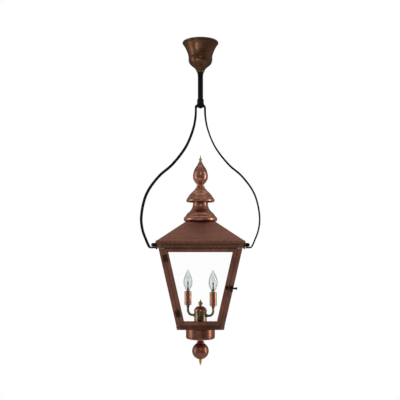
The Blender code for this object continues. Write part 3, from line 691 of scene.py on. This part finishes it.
def make_yoke():
    width = Vector((math.sin(YOKE_TWIST), math.cos(YOKE_TWIST), 0))
    section = rounded(-13, -2.8, 13, 2.8, 0.9, 3)
    path = [Vector((x, 0, z)) for x, z in yoke_path()]
    rings = []
    for number, point in enumerate(path):
        ahead = path[min(number + 1, len(path) - 1)] - path[max(number - 1, 0)]
        ahead.normalize()
        across = width.cross(ahead).normalized()
        rings.append([(point + width * a + across * b) * MM for a, b in section])
    bm = new_bm()
    skin(bm, rings, capped=True)
    piece("yoke_strap", bm, "black", ["yoke"], body="stem")
    bm = new_bm()
    lathe(bm, outline(
        (5.2, -236.3), (8.8, -236.3), (9.2, -236.7), (5.2, -237.2), (5.2, -236.3)), 40)
    prism(bm, circle(7.6, 6, start=10), -239.8, -237.1, 0.5)
    lathe(bm, outline(
        (4.9, -239.7), (4.9, -240.6), (4.4, -241), (3.6, -241), (3.6, -239.7), (4.9, -239.7)), 32)
    piece("yoke_nut", bm, "black", body="stem")


def make_stem():
    turned("swivel_stem", outline(
        (9.6, -34), (10, -34.4), (10, -38), (6, -38), (6, -46), (10.2, -47.6), (10.7, -48.4),
        (10.7, -113), [(10.5, -117), (9.9, -121), (9.4, -124.6)], (9, -125), (3.8, -125),
        (3.8, -34), (9.6, -34)), "black", ["swivel_stud"], body="stem", steps=64)
    turned("stem_pipe", outline(
        (9.35, -125.4), (9.35, -206.8), (6.4, -206.8), (6.4, -125.4), (9.35, -125.4)),
        "black", ["stem"], body="stem", steps=64)
    turned("stem_collar", outline(
        (9.6, -207.2), [(10.6, -207.7), (11.5, -209.2), (11.9, -211.2)], (11.9, -221.5),
        [(12.2, -223.6), (13.1, -226.2), (13.6, -228.6)], (13.1, -230.1), (6.4, -230.1),
        (6.4, -207.2), (9.6, -207.2)),
        "black", ["yoke_collar"], body="stem", steps=64,
        grooves=[(-212.8, 0.4, 0.6), (-222.6, 0.4, 0.6)])


def make_pivots():
    for label, turn in (("left", 180), ("right", 0)):
        axis = middle_of("pivot_bolt_" + label)
        frame_out = Matrix.Translation((0, 0, axis.z)) @ spun(turn, "Z") @ spun(90, "Y")
        turned("pivot_sleeve_" + label, outline(
            (6.1, 170), (6.6, 169.5), (6.6, 160.5), (6.1, 160), (3.3, 160), (3.3, 170),
            (6.1, 170)),
            "black", ["pivot_boss_" + label], body="stem", steps=40, matrix=frame_out)
        turned("pivot_rosette_" + label, outline(
            (7, 14.4), [(8.2, 14.3), (9, 13.6)], [(10.4, 13), (13, 12.7), (15.6, 11.2),
            (17, 9), (16.6, 7.5), (15, 6.5)], [(12, 5.4), (9.5, 3.8), (8.6, 0.4)],
            (4.5, 0.4), (4.5, -2.8), (3.3, -2.8), (3.3, 14.4), (7, 14.4)),
            "rosette", ["rosette_" + label], matrix=frame_out @ moved(0, 0, EAVE_HALF),
            lobes=(8, 0.09, 11))
        bm = new_bm()
        lathe(bm, outline(
            (0, 173.6), [(2.4, 173.5), (4.2, 173), (5.2, 172), (5.4, 170.8)], (5.4, 170.4),
            (3, 170.4), (3, 133), (0, 133)), SMALL, frame_out)
        piece("pivot_screw_" + label, bm, "steel", ["pivot_bolt_" + label])


# ---- Roof, chimney, cap and finial ----

def make_roof():
    bm = new_bm()
    squared(bm, outline(
        (34, -647.6), (51.4, -647.6), (52.2, -647.9), (136.6, -707.1), (EAVE_HALF - 1.4, -712.1),
        [(EAVE_HALF - 0.3, -712.9), (EAVE_HALF, -713.9), (EAVE_HALF - 0.4, -714.9)],
        (EAVE_HALF - 0.8, -715.3), (EAVE_HALF - 0.8, -721.4), [(EAVE_HALF - 0.1, -721.9),
        (EAVE_HALF - 0.1, -722.6), (EAVE_HALF - 0.8, -722.8)]),
        1.2, 1.6, [(-705.2, 0.35, 0.8)])
    # Faces below the eave's roll, the fascia, are marked as rims so they take the roof's light
    # edge colour: painted light on the fascia.
    layer = bm.faces.layers.float["rim"]
    for face in bm.faces:
        if face.calc_center_median().z < -714.0 * MM:
            face[layer] = 0.8
    piece("roof_hipped", bm, "roof", ["roof"])
    bm = new_bm()
    for quarter in range(4):
        turn = spun(90 * quarter, "Z")
        for x in (-118, 118):
            spot = turn @ moved(x, 0.75 - EAVE_HALF, -718.4) @ spun(90, "X")
            screw(bm, spot, 1.3, 0.6, 15 + 37 * quarter + x)
    piece("roof_screws", bm, "screw")


def make_chimney():
    slots = new_bm()
    for number in range(12):
        turn = spun(30 * number + 15, "Z")
        prism(slots, rounded(-3.1, -580.6, 3.1, -571.2, 3, 5), 20, 34, 0,
              turn @ spun(90, "X"))
    turned("chimney_flare", outline(
        (26.4, -568), (26.6, -568.4), [(26.6, -582), (27.2, -588.5), (29.3, -596.2),
        (33.6, -604.6), (40, -612.4)], [(43, -614), (46.4, -617.4), (49.6, -621.6),
        (51.6, -625.8)], [(54.6, -628), (57.6, -631.8), (59.1, -635.6), (59.4, -638.6),
        (58.6, -641.8), (56.6, -644.2), (54, -645.6)], (49, -647.1)),
        "spun", ["chimney"], wall=1.2, cutters=slots,
        grooves=[(-583.5, 0.3, 0.6), (-612.2, 0.7, 0.8), (-625.8, 0.7, 0.8)])


def make_cap():
    turned("cap_dome", outline(
        (2.6, -518.8), (12.6, -518.8), [(14.2, -519.3), (15, -520.9), (14.4, -522.6),
        (12.8, -523.8)], [(14.4, -524.5), (15.9, -525.8), (16.2, -527.6)], [(17.8, -529.2),
        (20.6, -532.4), (25.2, -537.6), (31.2, -543.5), (37.4, -549.8), (42, -556.4),
        (45.6, -562.6)], (45.4, -562.4), [(48, -565.6), (49.9, -569.2), (50.3, -572.4),
        (49.2, -575.2), (46.2, -577)]),
        "spun", ["dome_cap"], wall=0.9, grooves=[(-533.4, 0.35, 0.6), (-561.8, 0.6, 0.8)])


def make_finial():
    turned("finial_egg_lower", outline(
        (25.6, -481), [(26.9, -481.3), (27, -482.4), (26.4, -483)], [(26.5, -487),
        (26, -493), (23.9, -498.8), (18.9, -506.8), (13.9, -512.6), (11.4, -515.8),
        (10.6, -518.4)], (2.6, -518.5)),
        "spun", ["finial_lower"], wall=0.9)
    turned("finial_egg_upper", outline(
        (2.6, -434.3), (6, -434.5), [(6.9, -435.4), (7.3, -437.2)], [(8.6, -440.4),
        (11.2, -445.2), (16.8, -453.4), (21.8, -462.4), (24.7, -471.2), (25.7, -478.6)],
        (25.6, -478.6), [(26.3, -479.4), (26.3, -480.7), (25.4, -480.8)]),
        "spun", ["finial_upper"], wall=0.9, grooves=[(-437.4, 0.3, 0.5)])
    turned("finial_spike", outline(
        (0, -409), [(0.8, -410.6), (1.3, -413.5), (2, -418.4), (2.9, -421.6), (3.5, -422.8)],
        [(5.6, -423.6), (6.5, -425.4), (5.7, -427), (3.7, -427.8)], [(4.5, -429.2),
        (4.7, -431.4), (4.2, -434.1)], (2.3, -434.1), (2.3, -431.6), (0, -431.6)),
        "brass", ["finial_tip"], steps=48)


# ---- Body frame ----

def make_band():
    collar = BODY_TOP_HALF - 0.9
    pivot_z = middle_of("pivot_bolt_left").z
    bm = new_bm()
    squared(bm, outline(
        (collar, -716), (collar, -724.4), (half_width(-735.4), -735.4),
        [(half_width(-736.4) + 0.2, -736.4), (half_width(-738), -738)]),
        1.9, 1, [(-726.4, 0.3, 0.6)])
    for side in SIDES:
        spot = Matrix.Translation((side * (collar - 4) * MM, 0, pivot_z)) @ spun(90, "Y")
        lathe(bm, outline(
            (6.1, 3), (6.5, 2.6), (6.5, -2.6), (6.1, -3), (3.3, -3), (3.3, 3), (6.1, 3)),
            SMALL, spot)
    # The band's darker copper is painted shade under the eave.
    piece("top_band", bm, "band", ["top_frame"])
    bm = new_bm()
    for quarter in range(4):
        for x in (-62, 62):
            screw(bm, face_frame(quarter, x, -731.2, -0.05), 1.7, 0.8, x + 40 * quarter)
    piece("band_screws", bm, "screw")


def corner_angle(bm, quarter, top, bottom, thick, proud=0):
    """An angle section that follows the taper of one corner, with a rounded outer edge."""
    edge = half_width(bottom) + proud
    inner, reach = edge - thick, edge - POST_WIDTH
    bend = circle(1.2, 4, -edge + 1.2, -edge + 1.2, 180, 90)
    loop = [(-edge, -reach), *bend, (-reach, -edge), (-reach, -inner), (-inner, -inner),
            (-inner, -reach)]
    prism(bm, loop, bottom, top, min(0.45, 0.4 * thick), spun(90 * quarter, "Z"),
          edge - half_width(top) - proud)


def make_posts():
    labels = ("front_left", "front_right", "back_right", "back_left")
    for quarter, label in enumerate(labels):
        bm = new_bm()
        corner_angle(bm, quarter, -738.3, -1003.4, 1.2)
        piece("post_" + label, bm, "sheet", ["corner_post_" + label])
    bm = new_bm()
    for quarter in range(4):
        corner_angle(bm, quarter, -723.6, -738.1, 0.6, 0.65)
        corner_angle(bm, quarter, -1003.8, -1013.6, 0.6, 0.65)
    piece("corner_gussets", bm, "sheet")
    bm = new_bm()
    for quarter in range(4):
        for side in SIDES:
            for height in (-1007.4, -731):
                spot = face_frame(quarter, side * (half_width(height) - 7.4), height, 0.62)
                screw(bm, spot, 1.9, 0.9, 25 + 63 * quarter)
    piece("corner_screws", bm, "screw")


def make_base():
    bm = new_bm()
    squared(bm, outline(
        (half_width(-1004), -1004), [(half_width(-1005.2) + 0.25, -1005.2),
        (half_width(-1006.4), -1006.4)], (78.9, -1012.8), [(78.6, -1013.7), (77.8, -1014)],
        (34, -1014)), 1.2, 1.2)
    top, bottom = -999.2, -1004.6
    wide_top, wide_bottom = half_width(top) - 14.9, half_width(bottom) - 14.9
    prism(bm, [(-wide_bottom, up_slope(bottom)), (wide_bottom, up_slope(bottom)),
               (wide_top, up_slope(top)), (-wide_top, up_slope(top))], -1.1, 0, 0.3,
          face_frame(0))
    # The rails take the darker sill copper: painted shade.
    piece("base_rails", bm, "sill", ["base_frame"])
    bm = new_bm()
    for x, y in ((-62, -62), (62, -62), (62, 62), (-62, 62), (-30, 0), (30, 0), (0, 30), (0, -30)):
        screw(bm, moved(x, y, -1004.6), 2.2, 1.1, 3 * x + y)
    piece("base_screws", bm, "screw")


def clips(name, body, quarters, heights, inset, half, depth):
    """Small flat clips that hold the panes against their frames, inside."""
    bm = new_bm()
    for quarter in quarters:
        for height in heights:
            for side in SIDES:
                spot = face_frame(quarter, side * (half_width(height) - inset), height, depth)
                prism(bm, rounded(-half, -4, half, 4, 1.2), -0.7, 0, 0.15, spot)
    piece(name, bm, "fitting", body=body)


# ---- Door ----

def make_stops():
    """Folded strips behind the door's seams, so that no light shows through them."""
    bm = new_bm()
    high, top, bottom = -732, -742, -998
    loops = []
    for side in SIDES:
        for reach, front in ((14.3, -1.3), (19, -3.4)):
            loops.append((front, [(side * (half_width(z) - x), up_slope(z)) for z, x in (
                (bottom, 9), (bottom, reach), (top, reach), (top, 9))]))
    for low, front in ((-738, -2.2), (-743, -3.4)):
        loops.append((front, [(side * (half_width(z) - 15.2), up_slope(z)) for z, side in (
            (low, -1), (low, 1), (high, 1), (high, -1))]))
    for front, loop in loops:
        prism(bm, loop, -4.2, front, 0.15, face_frame(0))
    # The strips take the darker sill copper: painted shade behind the seams.
    piece("door_stops", bm, "sill")


def make_door():
    low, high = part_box("door_frame")
    top, bottom = high.z / MM - DOOR_THICK * math.sin(LEAN), low.z / MM
    in_top, in_bottom = PANE_HEIGHTS
    corners = [((side * (half_width(outer) - DOOR_INSET), up_slope(outer)),
                (side * (half_width(inner) - DOOR_INSET - STILE), up_slope(inner)))
               for side, outer, inner in ((-1, bottom, in_bottom), (1, bottom, in_bottom),
                                          (1, top, in_top), (-1, top, in_top))]
    bm = new_bm()
    for here, there in zip(corners, corners[1:] + corners[:1]):
        loop = [here[0], there[0], there[1], here[1]]
        centre = (sum(p[0] for p in loop) / 4, sum(p[1] for p in loop) / 4)
        loop = [tuple(p + 0.04 * math.copysign(1, c - p) for p, c in zip(point, centre))
                for point in loop]
        prism(bm, loop, -DOOR_THICK, 0, 0.8, face_frame(0))
    piece("door_leaf_frame", bm, "sheet", ["door_frame"], body="door")
    bm = new_bm()
    for side in SIDES:
        for height in (-991.6, -745.4):
            screw(bm, face_frame(0, side * (half_width(height) - 22.2), height), 1.9, 1,
                  40 + 55 * side + height)
        screw(bm, face_frame(0, side * 22.8, -991.8), 1.9, 1, 70 * side)
        screw(bm, face_frame(0, side * 48, -745.4), 1.7, 0.9, 20 * side)
    piece("door_screws", bm, "screw", body="door")


# ---- Hinges and latch ----

def seam_frame(height):
    """Frame on the left door seam: X to the door, Y up the seam, Z out, on the pin's axis."""
    tilt = Matrix.Rotation(math.atan(TAPER * math.cos(LEAN)), 4, "Z")
    return face_frame(0, SEAM_INSET - half_width(height), height, 2.4) @ tilt


def hinge_leaf(name, height, edge, knuckles, screw_x, body, node_name):
    """One leaf with its knuckles; edge is the lower half of its outline."""
    place = seam_frame(height)
    bm = new_bm()
    prism(bm, edge + [(x, -y) for x, y in reversed(edge)], -2.1, -1.1, 0.2, place)
    for low, high in knuckles:
        lathe(bm, outline(
            (0.95, high), (1.7, high), (2, high - 0.3), (2, low + 0.3), (1.7, low),
            (0.95, low), (0.95, high)), 24, place @ spun(-90, "X"))
    for y in (-9, 0, 9):
        screw(bm, place @ moved(screw_x, y, -1.15), 1.35, 0.7, 30 * screw_x + y)
    piece(name, bm, "fitting", [node_name], body)


def make_hinges():
    for label, height in HINGE_HEIGHTS.items():
        hinge_leaf("hinge_post_leaf_" + label, height,
                   [(-8, -11.5), (-7, -12.5), (-0.6, -12.5), (-0.6, -4.3), (-2.4, -4.3)],
                   [(-12.4, -4.4), (4.4, 12.4)], -5.2, "lantern", "post_leaf_" + label)
        hinge_leaf("hinge_door_leaf_" + label, height,
                   [(8, -11.5), (7, -12.5), (2.4, -12.5), (2.4, -4), (0.6, -4)],
                   [(-3.9, 3.9)], 5.2, "door", "door_leaf_" + label)
        bm = new_bm()
        lathe(bm, outline(
            (0, 14.6), [(0.8, 14.4), (1.4, 13.7), (1.5, 13), (1.2, 12.7)], (0.7, 12.7),
            (0.7, -12.7), (1.2, -12.7), [(1.5, -13), (1.4, -13.7), (0.8, -14.4), (0, -14.6)]), 24,
            seam_frame(height) @ spun(-90, "X"))
        piece("hinge_pin_fine_" + label, bm, "fitting", ["hinge_pin_" + label])


def latch_block(name, plate, block, screws, body, node_name):
    """A screwed plate with a raised block, bored along X for the bolt."""
    seam = face_frame(0, half_width(LATCH_Z) - SEAM_INSET, LATCH_Z)
    bolt_y = (seam.inverted() @ middle_of("latch_bolt")).y / MM
    bm = new_bm()
    prism(bm, rounded(*plate, 1.4), 0.3, 1.3, 0.25, seam)
    x0, x1, half, top = block
    arch = [(bolt_y + half, 1.2), *circle(half, 14, bolt_y, top - half, 0, 180),
            (bolt_y - half, 1.2)]
    part = new_bm()
    to_x = Matrix(((0, 0, 1, 0), (1, 0, 0, 0), (0, 1, 0, 0), (0, 0, 0, 1)))
    prism(part, arch, x0, x1, 0.3, to_x)
    hole = new_bm()
    prism(hole, circle(3.5, 24, bolt_y, 5.6), x0 - 3, x1 + 3, 0, to_x)
    join(bm, cut(part, hole), seam)
    for x, y in screws:
        screw(bm, seam @ moved(x, y, 1.25), 1.35, 0.7, 50 * x + y)
    piece(name, bm, "fitting", [node_name], body)


def make_latch():
    latch_block("latch_guide_fine", (1.9, -13, 13.2, 6.5), (3.6, 11.8, 5.1, 10.2),
                [(4.4, -9.2), (10.6, -9.2)], "lantern", "latch_guide")
    latch_block("latch_keeper_fine", (-12, -6.5, -2.2, 6.5), (-9.4, -3.6, 4.7, 10),
                [(-10.6, -5.1), (-10.6, 5.1)], "door", "latch_keeper")
    low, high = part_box("latch_bolt")
    centre = (low + high) / 2.0
    place = Matrix.Translation((low.x, centre.y, centre.z)) @ spun(90, "Y")
    length = (high.x - low.x) / MM
    bm = new_bm()
    lathe(bm, outline(
        (0, length), [(2, length - 0.1), (3.5, length - 0.5), (4.3, length - 1.6),
        (4.3, length - 3.8), (3.9, length - 4.8), (3.2, length - 5.4)], (3.2, 1.4), [(2.5, 0.5),
        (1.4, 0), (0, 0)]), SMALL, place)
    piece("latch_bolt_fine", bm, "fitting", ["latch_bolt"], body="latch")


# ---- Bottom cup, ball and tip ----

def make_bottom():
    turned("cup_turned", outline(
        (49.9, -1014.4), (50.5, -1014.9), (50.5, -1046), [(50.3, -1048.8), (49.4, -1051.3),
        (47.6, -1053.1), (45, -1053.9)], [(36, -1054.4), (24, -1055.1), (12, -1055.7)],
        (12, -1055.6), (2.6, -1056)),
        "cup", ["bottom_cup"], wall=1.2, grooves=[(-1018.6, 0.6, 0.8), (-1045.6, 0.45, 0.7)])
    start, *arc = circle(BALL_RADIUS, 6, 0, BALL_Z, 60, -62)
    turned("ball_top", outline(
        (2.6, -1056.4), (10.4, -1056.5), [(11, -1057.3), (10.4, -1059.2), (10.4, -1061.6),
        (11.4, -1064)], [(12.4, -1066.2), (13.3, -1068.4), start], arc, (29.2, -1098.2)),
        "cup", ["ball_upper"], wall=0.9, grooves=[(-1063.4, 0.4, 0.6)])
    start, *arc = circle(BALL_RADIUS, 8, 0, BALL_Z, -5, -74)
    turned("ball_bottom", outline(start, arc, (2.6, -1125.1)), "cup", ["ball_lower"], wall=0.9)
    turned("tip_turned", outline(
        (0, -1130.2), (2.3, -1130.2), (2.3, -1125.5), (5, -1125.5), [(5.5, -1127.2),
        (5.2, -1130.2), (3.8, -1132.4)], (3.8, -1132.6), [(4.7, -1134.4), (4.5, -1137),
        (3.2, -1139.2), (1.9, -1140.6)], [(2.1, -1142.4), (1.5, -1144.8), (0, -1146.6)]),
        "brass", ["bottom_tip"], steps=48)


# ---- Hub and lamps ----

def make_hub():
    turned("hub_body", outline(
        (21.2, -958), [(22.4, -958.3), (22.6, -959.6), (21.8, -960.4)], (21.8, -1000.6),
        [(23.6, -1001.2), (24.4, -1002.6), (24.2, -1004.3)], (2.6, -1004.3)),
        "hub", ["hub_cup"], wall=1, grooves=[(-963.4, 0.35, 0.6), (-998.2, 0.35, 0.6)])
    turned("hub_cap", outline(
        (2.6, -941.5), [(7.4, -941.7), (13.2, -943.8), (18, -947.8), (21, -952.6),
        (22.2, -956.2)], [(23, -956.5), (22.9, -957.6)]),
        "rose", ["hub_dome"], wall=0.9)
    turned("hub_knob", outline(
        (0, -917.8), [(0.8, -918.6), (1.6, -920.8), (2.8, -924.2), (5.1, -927.2), (7.6, -930.4),
        (8.2, -933), (7, -936), (4.4, -938)], [(5.6, -939.2), (5.4, -941.2)],
        (2.3, -941.2), (2.3, -933.6), (0, -933.6)),
        "brass", ["hub_finial"], steps=48)


def make_lamps():
    hub = middle_of("hub_cup")
    for label in ("left", "right"):
        axis = middle_of("candle_cover_" + label)
        reach = Vector((axis.x - hub.x, axis.y - hub.y)).length / MM
        turn = math.atan2(axis.y - hub.y, axis.x - hub.x)
        around = Matrix.Translation((hub.x, hub.y, 0)) @ Matrix.Rotation(turn, 4, "Z")
        spot = around @ moved(reach, 0, 0)
        make_arm(label, around, spot, reach)
        make_cover(label, spot)
        make_bulb(label, spot)


def make_arm(label, around, spot, reach):
    bend = [(reach - 17.0 + x, 0, -956.8 + z) for x, z in circle(17, 18, start=-90, turn=90)]
    path = [(22.1, 0, -973.8), (26, 0, -973.8), *bend, (reach, 0, -947),
            (reach, 0, -939.1)]
    bm = new_bm()
    tube(bm, path, 4, 28, around)
    to_x = around @ moved(0, 0, -973.8) @ spun(90, "Y")
    lathe(bm, outline(
        (4.4, 26.2), [(5.6, 25.6), (6.2, 24), (6.2, 22.2)], (3.8, 22.2), (3.8, 26.2),
        (4.4, 26.2)), SMALL, to_x)
    lathe(bm, outline(
        (5.8, -939.1), (6.4, -939.7), [(6.2, -942.6), (5, -945.4), (4.4, -947.4)], (3.8, -947.4),
        (3.8, -939.1), (5.8, -939.1)), SMALL, spot)
    piece("arm_bent_" + label, bm, "olive", ["lamp_arm_" + label])


def make_cover(label, spot):
    turned("cover_tube_" + label, outline(
        (11.6, -892), (12.2, -892.5), (12.2, -936.6), [(12.4, -937.6), (11.9, -938.8)],
        (2, -938.8), (2, -937.6), (11.2, -937.6), (11.2, -892), (11.6, -892)),
        "rose", ["candle_cover_" + label], steps=64, matrix=spot)
    turned("socket_body_" + label, outline(
        (0, -916), (6.7, -916), (6.7, -894.4), (7.1, -894), (9, -894), (9.6, -894.6),
        (9.6, -937), (0, -937.2)),
        "socket", ["lamp_socket_" + label], steps=48, matrix=spot)


def make_bulb(label, spot):
    envelope = smooth([(0, -813.2), (1.9, -815.4), (5.4, -823.6), (9.8, -833.4), (13.6, -843.6),
                       (15.8, -852.6), (16.2, -860), (15, -868.6), (12, -877.4),
                       (8.6, -884.6), (6.4, -888.6)], 6)
    inner = [(max(r - 0.7, 0), z - (0.7 if r < 4.0 else 0)) for r, z in envelope]
    bm = new_bm()
    lathe(bm, envelope + inner[::-1], 64, spot)
    piece("bulb_envelope_" + label, bm, "bulb", ["bulb_" + label])
    bm = new_bm()
    lathe(bm, smooth([(0, -858), (1.6, -858.6), (2.1, -861), (2, -868), (2.4, -878),
                      (4.2, -886), (5, -889.6)]) + [(0, -889.6)], SMALL, spot)
    piece("bulb_mount_" + label, bm, "stem_glass")
    bm = new_bm()
    for side in SIDES:
        tube(bm, [(side * 1.1, 0, -886), (side * 1.2, 0, -862), (side * 2.2, 0, -855),
                  (side * 4.6, 0, -846)], 0.32, 8, spot)
    tube(bm, [(0, 0, -860), (0, 0, -849), (0, 0.4, -838.5)], 0.28, 8, spot)
    coil = []
    for share in np.linspace(0, 1, 121):
        sag = -846 + 8 * (1 - abs(2 * share - 1))
        angle = 2 * math.pi * 24 * share
        coil.append((9.2 * share - 4.6, 0.45 * math.cos(angle), sag + 0.45 * math.sin(angle)))
    tube(bm, coil, 0.16, 6, spot)
    piece("bulb_filament_" + label, bm, "wire")
    thread = [(5.55 + 0.4 * math.cos(2 * math.pi * step / 10), -891 - 15 * step / 60)
              for step in range(61)]
    bm = new_bm()
    lathe(bm, [(0, -887.4), (6.3, -887.4), (6.3, -890)] + thread
          + [(5.2, -908), (2.6, -911.4), (2.2, -914), (0, -914.6)], SMALL, spot)
    piece("bulb_base_" + label, bm, "brass")


# ---- CAD nodes that stay ----

def finish_nodes():
    kept = {"ceiling_crossbar": "steel", "swivel_housing": "brass", "cap_spider": "steel",
            "finial_rod": "brass", "centre_rod": "brass", "base_plate": "sheet",
            "glass_left": "pane", "glass_right": "pane", "glass_back": "pane",
            "door_glass": "pane"}
    for name, look in kept.items():
        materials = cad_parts[name].data.materials
        materials.clear()
        materials.append(LOOKS[look])


# ---- Studio ----

def area_light(name, place, target, size, power, colour=(1.0, 1.0, 1.0)):
    made = bpy.data.lights.new(name, "AREA")
    made.shape = "RECTANGLE"
    made.size, made.size_y = size
    made.energy = power
    made.color = colour
    item = bpy.data.objects.new(name, made)
    item.location = place
    item.rotation_euler = (Vector(target) - Vector(place)).to_track_quat("-Z", "Y").to_euler()
    bpy.context.scene.collection.objects.link(item)


def share_light(light, state, *pieces):
    """Keep a light off the named pieces (EXCLUDE), or for them alone (INCLUDE)."""
    group = bpy.data.collections.new(light + "_receivers")
    for name in pieces:
        group.objects.link(bpy.data.objects[name])
    bpy.data.objects[light].light_linking.receiver_collection = group
    for entry in group.collection_objects:
        entry.light_linking.link_state = state


def make_studio():
    scene = bpy.context.scene
    scene.view_settings.view_transform = "Standard"
    world = bpy.data.worlds.new("studio")
    scene.world = world
    world.use_nodes = True
    tree = world.node_tree
    tree.nodes.clear()
    way = node(tree, "ShaderNodeTexCoord").outputs["Generated"]
    parts = node(tree, "ShaderNodeSeparateXYZ", {0: way})
    across = maths(tree, "MULTIPLY", parts.outputs["X"], parts.outputs["X"])
    top = spread(tree, parts.outputs["Z"], -0.2, 1.0, 0.0, 1.0)
    level = maths(tree, "ADD", maths(tree, "MULTIPLY", across, 0.4),
                  maths(tree, "MULTIPLY", top, 0.2))
    level = maths(tree, "ADD", level, 0.04)
    studio = node(tree, "ShaderNodeBackground", {"Color": (1.0, 1.0, 1.0, 1.0), "Strength": level})
    plain = node(tree, "ShaderNodeBackground", {"Color": (1.0, 1.0, 1.0, 1.0), "Strength": 1.0})
    seen = node(tree, "ShaderNodeLightPath").outputs["Is Camera Ray"]
    both = node(tree, "ShaderNodeMixShader", {0: seen, 1: studio.outputs[0], 2: plain.outputs[0]})
    out = node(tree, "ShaderNodeOutputWorld")
    tree.links.new(both.outputs[0], out.inputs["Surface"])
    middle = (0.0, 0.0, -0.75)
    area_light("right_strip", (2.3, -0.35, -0.75), middle, (0.4, 1.9), 15.0)
    area_light("left_strip", (-2.3, -0.3, -0.75), middle, (0.8, 1.9), 9.0)
    area_light("low_left", (-1.21, -1.87, -1.2), (0.0, 0.0, -0.2), (0.16, 0.8), 7.0)
    area_light("overhead", (0.0, 0.6, 1.6), middle, (2.4, 2.4), 14.0)
    area_light("front_low", (-0.6, -2.6, -1.9), middle, (2.2, 1.0), 4.0)
    area_light("front_high", (0.15, -2.3, 0.35), (0.0, 0.0, -0.8), (0.7, 0.45), 2.5)
    bm = new_bm()
    rings = [[(radius * math.cos(a), radius * math.sin(a), height)
              for a in (2.0 * math.pi * step / 96 for step in range(96))]
             for radius, height in ((0.5, -3.0), (3.0, -3.0), (6.5, -3.0), (6.55, -3.05))]
    skin(bm, [[(0.0, 0.0, -3.0)]] + rings)
    mesh = bpy.data.meshes.new("studio_floor")
    bm.to_mesh(mesh)
    bm.free()
    made, tree, shader = new_material("floor_paper")
    where = node(tree, "ShaderNodeTexCoord").outputs["Object"]
    fibre = noise(tree, where, (3.0, 3.0, 3.0), 5.0, 0.6)
    tone = ramp(tree, fibre, [(0.3, (0.93, 0.93, 0.93)), (0.7, (0.97, 0.97, 0.97))])
    tree.links.new(tone, shader.inputs["Base Color"])
    tree.links.new(tone, shader.inputs["Emission Color"])
    shader.inputs["Emission Strength"].default_value = 0.12
    shader.inputs["Roughness"].default_value = 0.9
    mesh.materials.append(made)
    floor = bpy.data.objects.new("studio_floor", mesh)
    scene.collection.objects.link(floor)


make_studio()
make_ceiling()
make_canopy()
make_stem()
make_yoke()
make_pivots()
make_roof()
make_chimney()
make_cap()
make_finial()
make_band()
make_posts()
make_base()
clips("glazing_clips", "lantern", (1, 2, 3), (-776, -870, -964), 11, 4, -4.6)
make_stops()
make_door()
clips("door_glass_clips", "door", (0,), (-776, -870, -960), DOOR_INSET + STILE - 5, 3.5, -6.5)
make_hinges()
make_latch()
make_bottom()
make_hub()
make_lamps()
finish_nodes()
share_light("right_strip", "EXCLUDE", "canopy_bell")
share_light("low_left", "INCLUDE", "canopy_bell", "canopy_lock_ring")
